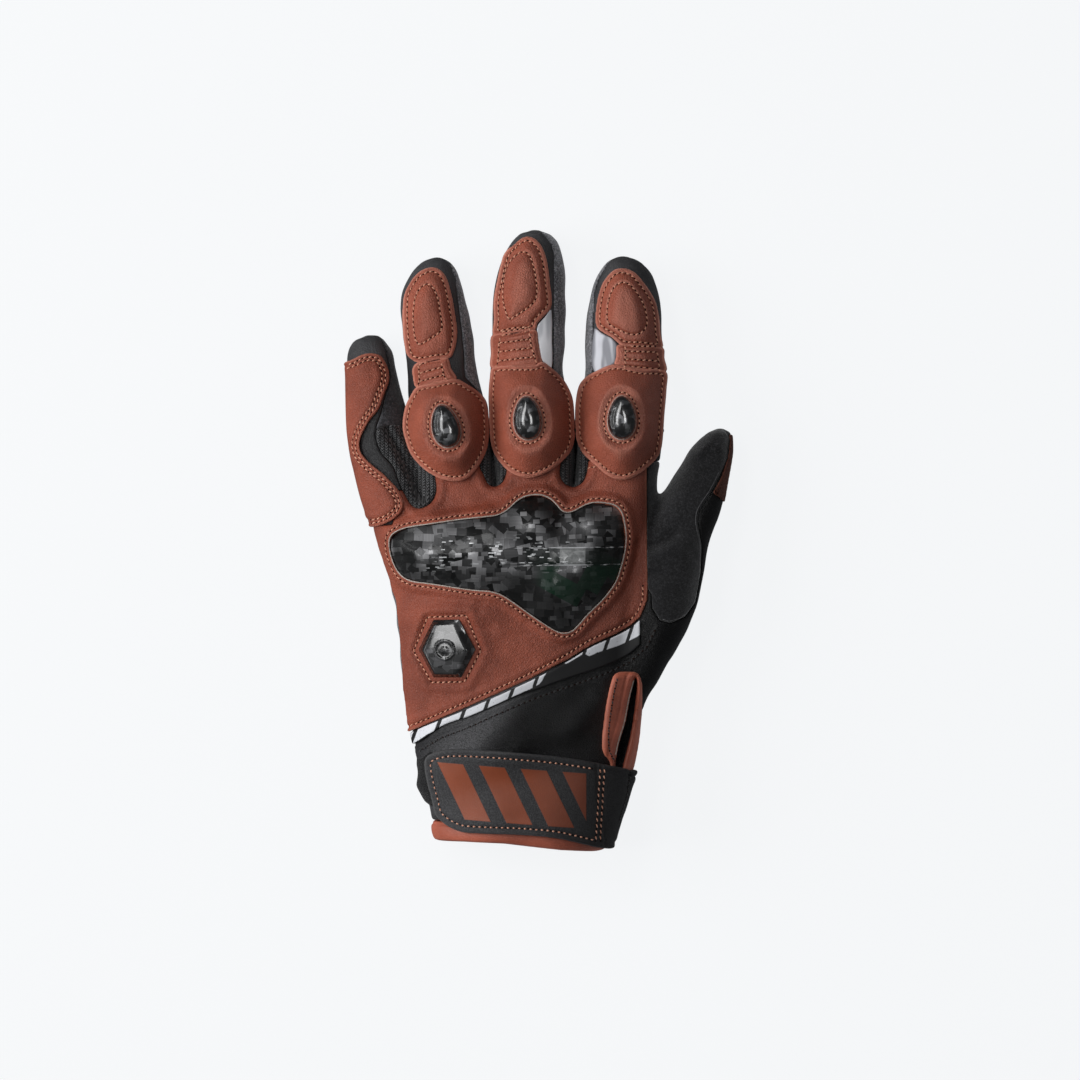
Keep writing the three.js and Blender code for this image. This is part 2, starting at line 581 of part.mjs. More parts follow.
// Palm side of the hand, and the suede of each finger and the thumb.
const cuffWall = wall.intersect(aboveHem);
addPiece(
  'palm_suede',
  cuffWall.subtract(upperGrown).subtract(fingerAreasGrown).subtract(thumbAreaGrown),
  MATERIALS.suede,
);
for (const [name, area] of Object.entries(fingerAreas)) {
  const finger = wall.intersect(area).subtract(gussetsGrown);
  const leather = blockOver(LEATHER_SIDES[name], 0, SIDE_SEAM + GAP / 2);
  const leatherGrown = blockOver(LEATHER_SIDES[name], GAP, SIDE_SEAM - GAP / 2);
  addPiece(`${name}_suede`, finger.subtract(leatherGrown), MATERIALS.suede);
  addPiece(`${name}_back`, finger.intersect(leather), MATERIALS.black);
}
const thumbSuedeBlock = blockOver(THUMB_SUEDE, 0, FAR_BELOW, COARSE_STEP);
addPiece(
  'thumb_suede',
  wall.intersect(thumbArea).subtract(upperGrown.subtract(thumbSuedeBlock)),
  MATERIALS.suede,
);

// Knit gussets in the webs between the fingers.
Object.keys(GUSSETS).forEach((name, i) => {
  addPiece(name, wall.intersect(gussetBlocks[i]), MATERIALS.knit);
});

// Back of the hand and cuff.
const backBlock = blockOver(BACK_PANEL, 0, FAR_BELOW, COARSE_STEP);
const backBlockGrown = blockOver(BACK_PANEL, GAP, FAR_BELOW, COARSE_STEP);
const backWall = cuffWall.intersect(upper).subtract(fingerAreasGrown).subtract(gussetsGrown);
addPiece(
  'back_panel',
  backWall.intersect(backBlock).subtract(thumbAreaGrown),
  MATERIALS.brown,
);
addPiece(
  'cuff_panel',
  backWall.subtract(backBlockGrown)
    .subtract(blockOver(THUMB_SUEDE, GAP, FAR_BELOW, COARSE_STEP))
    .subtract(slit),
  MATERIALS.black,
);

// A layer laid on the hand, from GAP + lift up to a thickness above it.
function layer(outline, thickness, options = {}) {
  const { lift = 0, step = FINE_STEP, low = SIDE_SEAM - LAYER_DROP, body = 'palm' } = options;
  const rows = body === 'palm' ? PALM : TUBES[body];
  const sides = body === 'palm' ? PALM_SIDES : TUBE_SIDES;
  const folded = body === 'palm';
  const top = loft(rows, sides, GAP + lift + thickness, { folded, floor: 0 });
  const under = lift > 0 ? loft(rows, sides, GAP + lift, { folded }) : cleared;
  return top.subtract(under).subtract(cleared).intersect(blockOver(outline, 0, low, step));
}

const strap = layer(STRAP, STRAP_THICK, {
  lift: BINDING_THICK + STRAP_LIFT,
  low: STRAP_LOW,
  step: COARSE_STEP,
});
addPiece('wrist_strap', strap, MATERIALS.strap);
const band = layer(BAND, BAND_THICK, { step: COARSE_STEP });
addPiece('reflective_band', band, MATERIALS.band);
const patch = layer(LOOP_PATCH, PATCH_THICK, { low: PATCH_LOW });
addPiece('loop_patch', patch, MATERIALS.loop);
const binding = layer(SLIT_BINDING, BINDING_THICK, { step: COARSE_STEP });
addPiece('slit_binding', binding.subtract(slit).intersect(aboveHem), MATERIALS.brown_trim);
const pinkyPanel = layer(PINKY_PANEL, PANEL_THICK, { body: 'pinky' });
addPiece('pinky_panel', pinkyPanel, MATERIALS.brown);
const thumbPatch = layer(THUMB_PATCH, PANEL_THICK, { body: 'thumb', low: PATCH_LOW });
addPiece('thumb_patch', thumbPatch, MATERIALS.brown);

// Rolled hem all round the cuff's mouth.
const hemStrip = block([...HEM_SEAM.map(([x, y]) => [x, y - GAP]), ...RIM]);
const hemOuter = loft(PALM, PALM_SIDES, HEM_BULGE, { floor: 0 });
const hemInner = loft(PALM, PALM_INNER_SIDES, -WALL, { reach: MOUTH_REACH });
addPiece('hem_binding', hemOuter.subtract(hemInner).intersect(hemStrip), MATERIALS.brown_trim);

// A crowned pad: rings of the outline drawn in towards a spine, each a little higher.
const PAD_RINGS = [
  { share: 1.0, lift: 0 },
  { share: 0.9, lift: 0.45 },
  { share: 0.62, lift: 0.88 },
  { share: 0.25, lift: 1 },
];
const PAD_DEPTH = 9;

function crownedPad(points, spine, surface, rim, crown) {
  const positions = [];
  const faces = [];
  const count = points.length;
  const inward = ([x, y], share) => {
    const [[ax, ay], [bx, by]] = spine;
    const length2 = (bx - ax) ** 2 + (by - ay) ** 2;
    const along = length2 > 0 ? ((x - ax) * (bx - ax) + (y - ay) * (by - ay)) / length2 : 0;
    const t = Math.min(1, Math.max(0, along));
    const cx = ax + t * (bx - ax);
    const cy = ay + t * (by - ay);
    return [cx + share * (x - cx), cy + share * (y - cy)];
  };
  for (const [x, y] of points) {
    positions.push(x, y, surface(x, y) - PAD_DEPTH);
  }
  for (const { share, lift } of PAD_RINGS) {
    for (const point of points) {
      const [x, y] = inward(point, share);
      positions.push(x, y, surface(x, y) + rim + crown * lift);
    }
  }
  for (let r = 0; r < PAD_RINGS.length; r += 1) {
    for (let k = 0; k < count; k += 1) {
      const a = r * count + k;
      const b = r * count + ((k + 1) % count);
      faces.push(a, b, a + count, b, b + count, a + count);
    }
  }
  const flat = points.map(([x, y]) => new THREE.Vector2(x, y));
  const innermost = points.map((point) => inward(point, PAD_RINGS.at(-1).share));
  const cap = innermost.map(([x, y]) => new THREE.Vector2(x, y));
  const lastRing = PAD_RINGS.length * count;
  for (const [a, b, c] of THREE.ShapeUtils.triangulateShape(flat, [])) {
    faces.push(a, c, b);
  }
  for (const [a, b, c] of THREE.ShapeUtils.triangulateShape(cap, [])) {
    faces.push(lastRing + a, lastRing + b, lastRing + c);
  }
  const geometry = new THREE.BufferGeometry();
  geometry.setAttribute('position', new THREE.Float32BufferAttribute(positions, 3));
  geometry.setIndex(faces);
  return solid(geometry);
}

// Points of an outline in counter-clockwise order.
function orderedPoints(runs, count) {
  const dense = outlinePoints(runs, 1);
  const length = dense.reduce((sum, [x, y], i) => {
    const [nx, ny] = dense[(i + 1) % dense.length];
    return sum + Math.hypot(nx - x, ny - y);
  }, 0);
  const points = outlinePoints(runs, length / count);
  const area = THREE.ShapeUtils.area(points.map(([x, y]) => ({ x, y })));
  return area > 0 ? points : points.reverse();
}

function middleOf(points) {
  const sum = points.reduce(([sx, sy], [x, y]) => [sx + x, sy + y], [0, 0]);
  return [sum[0] / points.length, sum[1] / points.length];
}

// A piece stops short of the ones already laid.
const laid = [];
function besideLaid(piece) {
  return laid.reduce((rest, over) => rest.subtract(over), piece);
}

const padSolids = {};
for (const [name, pad] of Object.entries(PADS)) {
  const points = orderedPoints(pad.outline, pad.steps);
  const centre = middleOf(points);
  const surface = (x, y) => topHeight(pad.under, x, y);
  const raw = crownedPad(points, [centre, centre], surface, pad.rim, pad.crown);
  padSolids[name] = besideLaid(raw.subtract(cleared));
  laid.push(block(grownPoints(points, GAP)));
}

// An egg: an ellipse that is narrower towards one end, domed.
function studPoints({ x, y, turn }, grow = 0) {
  const points = [];
  const angle = THREE.MathUtils.degToRad(turn);
  for (let i = 0; i < STUD_SIDES; i += 1) {
    const a = (2 * Math.PI * i) / STUD_SIDES;
    const along = (STUD_LENGTH / 2 + grow) * Math.sin(a);
    const across = (STUD_WIDTH / 2 + grow) * Math.cos(a) * (1 - STUD_TAPER * Math.sin(a));
    points.push([
      x + across * Math.cos(angle) - along * Math.sin(angle),
      y + across * Math.sin(angle) + along * Math.cos(angle),
    ]);
  }
  return points;
}

for (const [name, stud] of Object.entries(STUDS)) {
  const pad = PADS[stud.pad];
  const centre = [stud.x, stud.y];
  const seat = topHeight(pad.under, ...centre) + pad.rim + pad.crown - STUD_SUNK;
  const dome = crownedPad(studPoints(stud), [centre, centre], () => seat, 0, STUD_RISE);
  addPiece(name, dome.intersect(slab(seat)), MATERIALS.gloss);
  padSolids[stud.pad] = padSolids[stud.pad].subtract(block(studPoints(stud, GAP), seat - GAP));
}
for (const [name, pad] of Object.entries(padSolids)) {
  addPiece(name, pad, MATERIALS.brown);
}

// Reflectors on the sides of two fingers, between the pads.
const REFLECTORS = { middle: MIDDLE_REFLECTOR, index: INDEX_REFLECTOR };
for (const [finger, outline] of Object.entries(REFLECTORS)) {
  const piece = layer(outline, REFLECTOR_THICK, { body: finger });
  addPiece(`${finger}_reflector`, besideLaid(piece), MATERIALS.silver);
}

// Knuckle guard over the back panel.
const guardPoints = orderedPoints(GUARD, GUARD_STEPS);
const guardRaw = crownedPad(
  guardPoints,
  GUARD_SPINE,
  (x, y) => topHeight(PALM, x, y) + foldRise(x, y),
  GUARD_RIM,
  GUARD_RISE,
);
addPiece('knuckle_guard', guardRaw.subtract(cleared), MATERIALS.carbon);

// Hexagonal cap: a flange on the leather and a bevelled top.
function hexagonPoints(across) {
  const radius = across / Math.sqrt(3);
  return Array.from({ length: 6 }, (_, i) => {
    const a = (Math.PI / 3) * i;
    return [CAP.x + radius * Math.cos(a), CAP.y + radius * Math.sin(a)];
  });
}
const capSeat = topHeight(PALM, CAP.x, CAP.y) + foldRise(CAP.x, CAP.y);
const capRings = [
  { points: hexagonPoints(CAP.across), z: capSeat - PAD_DEPTH },
  { points: hexagonPoints(CAP.across), z: capSeat + CAP.base },
  { points: hexagonPoints(CAP.top_across), z: capSeat + CAP.rise },
];
const capPositions = capRings.flatMap(({ points, z }) => points.flatMap(([x, y]) => [x, y, z]));
const capFaces = [];
for (let r = 0; r < 2; r += 1) {
  for (let k = 0; k < 6; k += 1) {
    const a = r * 6 + k;
    const b = r * 6 + ((k + 1) % 6);
    capFaces.push(a, b, a + 6, b, b + 6, a + 6);
  }
}
for (let k = 1; k < 5; k += 1) {
  capFaces.push(0, k + 1, k, 12, 12 + k, 12 + k + 1);
}
const capGeometry = new THREE.BufferGeometry();
capGeometry.setAttribute('position', new THREE.Float32BufferAttribute(capPositions, 3));
capGeometry.setIndex(capFaces);
addPiece('hexagon_cap', solid(capGeometry).subtract(cleared), MATERIALS.gloss);

export default glove;
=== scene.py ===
import math

import bpy
import numpy as np
from mathutils import Matrix, Vector
from mathutils.bvhtree import BVHTree


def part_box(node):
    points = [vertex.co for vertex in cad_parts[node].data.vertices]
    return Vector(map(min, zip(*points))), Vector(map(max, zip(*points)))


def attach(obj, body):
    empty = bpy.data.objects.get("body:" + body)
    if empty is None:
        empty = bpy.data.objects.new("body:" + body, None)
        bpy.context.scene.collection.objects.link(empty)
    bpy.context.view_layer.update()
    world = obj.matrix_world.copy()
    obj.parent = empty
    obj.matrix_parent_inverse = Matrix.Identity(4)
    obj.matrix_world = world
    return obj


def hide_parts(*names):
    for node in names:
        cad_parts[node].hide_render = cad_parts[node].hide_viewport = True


# Left-hand motorcycle glove, palm down. Every length below is in millimetres until
# a mesh is made. The section tables and outlines follow those of the solids.
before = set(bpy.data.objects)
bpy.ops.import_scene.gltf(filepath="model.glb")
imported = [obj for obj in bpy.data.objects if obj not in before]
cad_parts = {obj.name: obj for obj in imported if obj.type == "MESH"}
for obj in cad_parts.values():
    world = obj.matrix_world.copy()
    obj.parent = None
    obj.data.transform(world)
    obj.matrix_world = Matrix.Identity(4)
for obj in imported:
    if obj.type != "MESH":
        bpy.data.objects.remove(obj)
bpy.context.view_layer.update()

MM = 0.001
WALL = 2.2
GAP = 0.3
SIDE_SEAM = 11.0
TOP_POWER = 2.3
UNDER_POWER = 3.2
MID_HEIGHT = 0.42

# Sections across the hand: y, left, right, bottom, top. The fingertips are rounder than the solids'.
PALM = [
    (-132, -40.5, 21.0, -3, 37.0), (-118, -40.3, 24.5, -3, 37.0), (-104, -42.4, 30.0, -3, 36.3),
    (-91, -45.8, 34.2, -3, 35.6), (-78, -49.3, 37.2, -3, 35.2), (-63, -52.6, 39.0, -3, 35.0),
    (-46, -54.4, 40.8, -3, 35.0), (-28, -56.4, 42.7, -3, 35.0), (-10, -60.0, 44.2, -3, 35.0),
    (3, -64.2, 44.6, -2, 34.2), (13, -61.8, 44.3, 0, 32.0), (21.6, -54.0, 43.5, 2, 28.0),
]
PINKY = [
    (-6, -58.0, -44.0, 6, 26.0), (10, -66.6, -41.2, 2, 27.0), (25, -71.1, -44.2, 2, 25.5),
    (41, -73.9, -50.2, 2.5, 22.8), (56, -74.8, -53.8, 1.2, 20.2), (68, -75.4, -57.2, 0.5, 18.5),
    (73.6, -75.0, -58.5, 1.0, 17.0), (77.2, -73.0, -61.0, 2.4, 15.0), (79.8, -69.0, -63.0, 5, 12.0),
]
RING = [
    (2, -43.0, -14.0, 4, 27.0), (18, -46.5, -13.8, 2, 29.5), (36, -51.6, -16.6, 2.8, 29.2),
    (52, -51.8, -21.2, 3, 27.0), (66, -52.0, -24.8, 2.4, 24.2), (82, -53.9, -26.7, 0.8, 21.9),
    (95.4, -54.5, -29.8, 0.3, 20.5), (104.2, -50.8, -32.4, 1.2, 18.2), (108.2, -47.2, -34.8, 2.6, 16),
    (110.8, -43, -38, 6, 12.5),
]
MIDDLE = [
    (2, -19.0, 12.0, 4, 28.0), (18, -20.5, 14.8, 2, 30.5), (36, -20.5, 15.2, 2.7, 30.2),
    (52, -19.9, 12.8, 3.4, 28.4), (65, -19.6, 8.9, 3, 26.2), (80, -18.9, 9.6, 2, 24.0),
    (96, -18.3, 9.8, 0.5, 22.2), (108, -15.7, 9.3, 0.4, 20.5), (116.3, -11.5, 6.8, 2, 17.5),
    (119.6, -8.4, 3.9, 3.4, 15.6), (121.3, -4.8, 0.6, 6, 13.0),
]
INDEX = [
    (2, 15.0, 42.0, 4, 27.0), (18, 11.8, 44.8, 2, 29.5), (36, 12.2, 47.2, 2.8, 29.2),
    (52, 14.5, 48.6, 3.4, 27.4), (64.5, 17.4, 48.6, 3, 25.4), (80, 17.4, 47.5, 1.3, 22.6),
    (93, 19.0, 46.9, 0.3, 21.2), (103, 22.1, 44.0, 0.9, 19.0), (108.2, 25.4, 40.0, 2.6, 16.4),
    (111.2, 29.4, 35.0, 6, 12.5),
]
THUMB = [
    (-66, 24.0, 36.5, 6, 24.0), (-48, 26.6, 50.0, 2, 28.0), (-30, 29.8, 59.6, 0.6, 29.0),
    (-13.8, 33.5, 63.6, 0.5, 28.5), (0, 37.8, 66.0, 0.8, 27.4), (12, 43.6, 70.6, 0.8, 25.2),
    (24, 51.4, 73.0, 0.3, 22.5), (34, 57.8, 74.7, 0.8, 20.0), (39.4, 62.0, 74.7, 2.5, 17.5),
    (42, 65.4, 74.2, 4.0, 15.4), (43.7, 68.2, 72.4, 6, 13.0),
]
FINGERS = {"pinky": PINKY, "ring": RING, "middle": MIDDLE, "index": INDEX}

# Soft folds of the leather: from, to, width, rise (negative for a valley).
FOLDS = [
    (-46, 9, -18, 4, 6, 1.4), (-12, 16, -22, 10, 6, 1.0), (-56, -24, -22, -30, 8, 1.6),
    (-22, -30, 2, -42, 8, 1.6), (-44, -86, -14, -80, 10, 2.2), (-14, -80, 8, -72, 9, 2.0),
    (15, -70, 27, -55, 5, 0.9),
]
CREASES = [
    (-53, -36, -20, -33, 3.0, -0.7), (-50, -60, -24, -58, 3.5, -0.5), (-52, -28, -28, -25, 3.0, 0.6),
    (36, 16, 41, -14, 3.2, -0.9), (37, -18, 30, -31, 3.4, 0.8), (-36, 14, -20, 16, 3.0, -0.8),
    (-2, 20, 8, 20, 3.0, -0.7), (18, 19, 34, 18, 3.4, -0.8), (-30, 19, -12, 21, 3.4, 0.6),
    (46, -40, 58, -20, 4.5, -1.0),
]

# Outlines seen from above, of the pieces with smooth edges.
OUTLINES = {
    "ring_tip": [
        (-44, 106.5), (-40.4, 106.3), (-37.8, 104.1), (-36.1, 100.9), (-34.8, 96.1), (-33.6, 89.7),
        (-32.6, 83.3), (-32.6, 79), (-33.5, 74.7), (-35.1, 71.4), (-40, 70.6), (-47.8, 69.4),
        (-51.3, 71.4), (-52.8, 75.9), (-53.6, 84), (-53.7, 91.5), (-53.2, 96.1), (-51.3, 100.4),
        (-48.4, 104.1),
    ],
    "ring_almond": [
        (-44, 100), (-42, 98.7), (-40.1, 94.4), (-39.1, 89), (-38.3, 83.3), (-38.8, 81.7), (-40.9, 80),
        (-44.9, 77.4), (-47.2, 76.4), (-48.6, 78.2), (-49.5, 84.3), (-49.5, 89.7), (-48.4, 95.8),
        (-46.3, 98.9),
    ],
    "ring_strip": [
        (-47.8, 69.2), (-40, 70.2), (-36.4, 71), (-35.1, 66.9), (-33.0, 62.9), (-40.8, 61.6),
        (-48.2, 59.7), (-49.7, 64.2), (-49.7, 67.3),
    ],
    "middle_tip": [
        (-7.5, 118.1), (-4.9, 118.7), (-2.3, 117.8), (0.4, 114.8), (2.1, 110.4), (3, 105.7),
        (3.8, 99.1), (4.3, 94.8), (4.1, 90.8), (1.2, 87.4), (-1.4, 84.4), (-2, 82.1), (-9.9, 81.1),
        (-18.1, 80.3), (-18, 86), (-18.1, 93.4), (-16.6, 102.1), (-15.1, 108.7), (-14, 111.9),
        (-11, 115.4),
    ],
    "middle_almond": [
        (-7.1, 112.5), (-4.7, 111.7), (-2.9, 107.4), (-1.8, 102.1), (-1.4, 96.5), (-2.3, 93.2),
        (-5.3, 90.4), (-9.2, 87.8), (-12.1, 86.2), (-13.4, 89.1), (-14.5, 93.4), (-14.5, 99.5),
        (-13.4, 105.7), (-11, 109.8),
    ],
    "middle_strip": [
        (-18.4, 80.0), (-9.9, 80.8), (-2, 81.7), (-1.2, 77.3), (0, 71.4), (0.3, 69.6), (-1.8, 68.4),
        (-18.6, 67.4), (-18.9, 73),
    ],
    "index_tip": [
        (28.4, 105.3), (31.4, 106.2), (34.4, 105.8), (37.3, 104), (41.1, 99.5), (43.7, 95.7),
        (45.3, 92.2), (46.2, 87.2), (46.7, 80.5), (47.3, 75.3), (38.8, 75.5), (32, 75.9),
        (29.5, 77.8), (27.7, 79.3), (24.3, 81.2), (22, 83.4), (21.4, 86.4), (21.8, 91.7), (23, 97.3),
        (25, 101.7),
    ],
    "index_almond": [
        (32.1, 100.6), (34.4, 99.9), (37, 97.3), (39.6, 93.1), (41.1, 88.6), (41.3, 83.7),
        (38.8, 80.7), (35.8, 80.2), (32.9, 81), (29.5, 82.7), (26.5, 84.7), (26, 87.2), (26.3, 92.4),
        (27.7, 96.9), (29.5, 99.5),
    ],
    "index_strip": [
        (30.2, 75.9), (38.8, 75.3), (47.5, 75), (47.9, 71.2), (48.6, 66.2), (38.8, 66.9),
        (29.2, 68.4), (29.8, 71.6),
    ],
    "middle_reflector": [
        (4.1, 90.1), (4.5, 78.2), (4.3, 67.1), (2.1, 68.8), (0.4, 70.2), (-0.8, 77.3), (-1.5, 81.7),
        (-1, 84), (1.6, 87),
    ],
    "index_reflector": [
        (21, 82.7), (24, 80.8), (27.5, 79), (29.4, 77.3), (30, 75.5), (29.5, 71.6), (29, 69),
        (20.9, 65.8),
    ],
    "ring_pad": [
        (-48, 59.7), (-50.3, 56.7), (-52.6, 51.6), (-53.5, 44.4), (-52.1, 38.1), (-50.3, 33.7),
        (-46.9, 29.5), (-42.7, 26.2), (-38.3, 24.1), (-33.1, 23.2), (-28.5, 24.4), (-24.8, 28.3),
        (-21.3, 34.9), (-20.4, 40), (-20.4, 47), (-21.3, 54), (-24.2, 57.7), (-28.4, 60.5),
        (-33, 62.7), (-40.8, 61.3),
    ],
    "middle_pad": [
        (-18.4, 67.4), (-19.5, 63.4), (-20, 56.2), (-19.8, 49.9), (-19.5, 41.1), (-18.5, 35.3),
        (-14.9, 29.7), (-10.7, 26.2), (-4.8, 24.5), (0.8, 25.9), (6, 29), (11.2, 34.2), (12.9, 38.8),
        (13, 44.7), (12.6, 53.4), (11.4, 57.9), (8.4, 63.1), (4.3, 66.9), (0.4, 69.4), (-1.8, 68.1),
    ],
    "index_pad": [
        (28.9, 68.4), (20.6, 65.3), (17.8, 63.5), (15.3, 60.4), (14, 54.1), (13.7, 46.4),
        (14.2, 39.5), (16.6, 34.2), (22, 29), (26.1, 25.5), (31, 23.8), (35.9, 24.8), (41.1, 28.3),
        (45.3, 32.5), (47, 36.7), (48.1, 49.9), (48.9, 59.3), (48.7, 65.8), (38.8, 66.6),
    ],
    "pinky_panel": [
        (-79, 67.9), (-73, 70.9), (-69.3, 72.7), (-65.7, 73.1), (-62.5, 72.2), (-60.2, 69),
        (-59, 64.9), (-59.3, 61.2), (-61, 57), (-63.1, 51.3), (-66.7, 46.6), (-69.6, 41.3),
        (-70.6, 37.7), (-69.8, 34), (-66.7, 30.4), (-61.5, 26.2), (-57.3, 22), (-54.8, 18.9),
        (-53.3, 14.7), (-53.7, 12.1), (-55.2, 10), (-58.3, 7.6), (-63.4, 5.6), (-68.1, 5.3),
        (-74, 6.5), (-79, 12),
    ],
    "guard": [
        (-58.6, -1.8), (-58.1, 1.4), (-55.8, 3.3), (-52.1, 4.7), (-44.7, 5.9), (-30.8, 7.9),
        (-20.9, 9), (-16.6, 9.6), (-12.9, 11.5), (-8.4, 15.5), (-4.5, 17.2), (0.2, 17.4), (3.7, 16),
        (6, 13.8), (8, 11.4), (10.3, 10.6), (13.1, 11.2), (16.6, 13.1), (20.1, 14.4), (24.5, 14.4),
        (28.9, 13.4), (31.2, 11.1), (32.4, 6.6), (33, 1.4), (32.6, -3.3), (31.2, -9.6),
        (28.8, -16.2), (24.5, -22.1), (18.2, -28.4), (13.5, -33.7), (11.1, -35.4), (8, -35.5),
        (4.5, -34), (-2.5, -29.4), (-11.1, -23.3), (-15.4, -20.7), (-19.7, -19.5), (-26.7, -18.9),
        (-42.7, -16.5), (-49.5, -15.6), (-53.2, -14), (-55.8, -11), (-57.8, -6.2),
    ],
    "band": [
        (42.6, -24.6), (38.8, -30.5), (34.8, -34.1), (29, -37.2), (20, -41.2), (10.2, -47.1),
        (-4.5, -54.7), (-27.6, -65.1), (-51.6, -75.6), (-52.4, -79.6), (-47.6, -78.6), (-37.9, -71.9),
        (-26.8, -68.0), (-18.8, -64.8), (-8, -60), (-0.5, -57.4), (12, -53), (23, -49.4), (34, -44.4),
        (40.4, -38.4), (43.2, -32), (43.6, -28),
    ],
    "strap": [
        (-45.2, -87.6), (-44.8, -84.8), (-42.9, -83.1), (-39.1, -81.7), (-33.9, -81), (-20, -81.4),
        (-8, -82.3), (2.5, -83.3), (12.9, -84.7), (23.4, -86.6), (38.3, -89.9), (44, -92),
        (44, -108), (36, -119), (30, -120.3), (23.4, -119.6), (16.4, -117.8), (5.9, -115.4),
        (-8, -114.1), (-23.4, -113.6), (-30.4, -113.1), (-35.6, -111.2), (-39.1, -108.7),
        (-40.9, -106.7), (-42.3, -101.2), (-44, -94.8),
    ],
    "slit_binding": [
        (24.6, -130), (24.6, -101.2), (27.0, -87), (24.5, -83), (23.7, -78.9), (24.5, -70.2),
        (25.9, -61.1), (28, -52.9), (29.8, -51.2), (33, -50.8), (37.6, -51.4), (39.4, -54.6),
        (39.9, -60), (39.8, -68), (39.2, -76), (37.6, -86), (35.8, -94), (34.5, -130),
    ],
    "slit": [
        (37.2, -52.8), (37.8, -56), (37.3, -62.2), (36.0, -71.9), (34.2, -80.6), (32.5, -86.9),
        (29.4, -101.2), (27.9, -119.9), (27.3, -135), (25.9, -135), (26.5, -119.9), (27.5, -101.2),
        (28.9, -87), (29.4, -83.4), (30.5, -78.2), (32.9, -70.2), (34.6, -61.4), (36.5, -53.4),
    ],
}

# Other outlines, and seams.
HEXAGON = [(-41.5, -31), (-31.6, -30.8), (-25.4, -42.3), (-30.8, -53), (-41.5, -53), (-47.3, -42.3)]
HEXAGON_SEAM = [
    (-43.9, -29.8), (-28.7, -29.1), (-23.2, -42.7), (-29.4, -54.8), (-42.3, -55.2), (-49.3, -43.1),
]
GUSSETS = {
    "gusset_pinky_ring": [
        (-63.8, 43.2), (-53.6, 44.7), (-50.1, 39.2), (-45.4, 33.3), (-41.5, 27.5), (-40.8, 23.6),
        (-40.5, 19.4), (-41.7, 15.8), (-44.1, 13.5), (-46.8, 12.4), (-49.1, 12.9), (-50.9, 14.6),
        (-54.6, 21.5), (-57.3, 28.8), (-62.5, 35.1),
    ],
    "gusset_ring_middle": [
        (-23.4, 40.5), (-15.8, 40.5), (-13.1, 30.6), (-13.1, 27.5), (-13.7, 24.8), (-15.4, 22),
        (-17.7, 20.9), (-20.1, 21.6), (-21.8, 24.8), (-24, 29.8),
    ],
    "gusset_middle_index": [
        (9.7, 40.5), (16.4, 40.5), (18.5, 32.2), (18.3, 27.5), (16.8, 23.2), (13.8, 20.9),
        (11.1, 21.1), (8.8, 22.8), (7.5, 25.9), (7.8, 29.8),
    ],
}
# The valley down the middle of each gusset.
GUSSET_VALLEYS = {
    "gusset_pinky_ring": [(-60, 44), (-53, 31), (-46.5, 17)],
    "gusset_ring_middle": [(-19.4, 41), (-18.4, 31), (-17.8, 22)],
    "gusset_middle_index": [(13.2, 41), (13.4, 31), (12.6, 22)],
}
LOWER_EDGE = [
    (-52.1, -74.9), (-27.6, -64.3), (-4.5, -53.9), (10.2, -46.3), (20, -40.4), (29, -36.4),
    (34.8, -33.3), (38.8, -29.7), (41.5, -23.2), (41.7, -17.4),
]
BACK_PANEL = LOWER_EDGE + [(41.5, 0), (41.3, 21), (41.3, 60), (-90, 60), (-90, -74.9)]
THUMB_SUEDE = [
    (43, 50), (67, 50), (75, 38.4), (73.6, 33.1), (66.7, 19.1), (61.8, 11.5), (61.1, 7.3),
    (62.7, -1.8), (62.4, -12.2), (60.3, -24), (56.2, -29.6), (50.7, -32.1), (46.4, -31),
    (43.4, -26.1), (42.9, 0), (42.6, 22),
]
SUEDE_EDGE = [(41.7, -19), (41.5, 0), (41.4, 30.8), (51.4, 30.8), (52.5, 40), (47, 10), (46, -24)]
THUMB_PATCH = [
    (73.6, 41.6), (80, 42), (80, 20), (72.6, 14.2), (66.9, 18.6), (70.6, 25.4), (73.0, 32.4),
    (73.8, 37.9),
]
LOOP_PATCH = [
    (-39.4, -80.6), (-43.5, -80.9), (-47, -84.2), (-60, -84.6), (-60, -98), (-47.4, -99),
    (-45.4, -102), (-43, -103.4), (-39.4, -103.4),
]
HEM_SEAM = [(-60, -108.4), (-30, -109.4), (0, -111.8), (20, -113.4), (60, -113.4)]
RIM = [(60, -121), (20, -121), (8, -120.2), (-14, -117.6), (-30, -117), (-60, -117)]

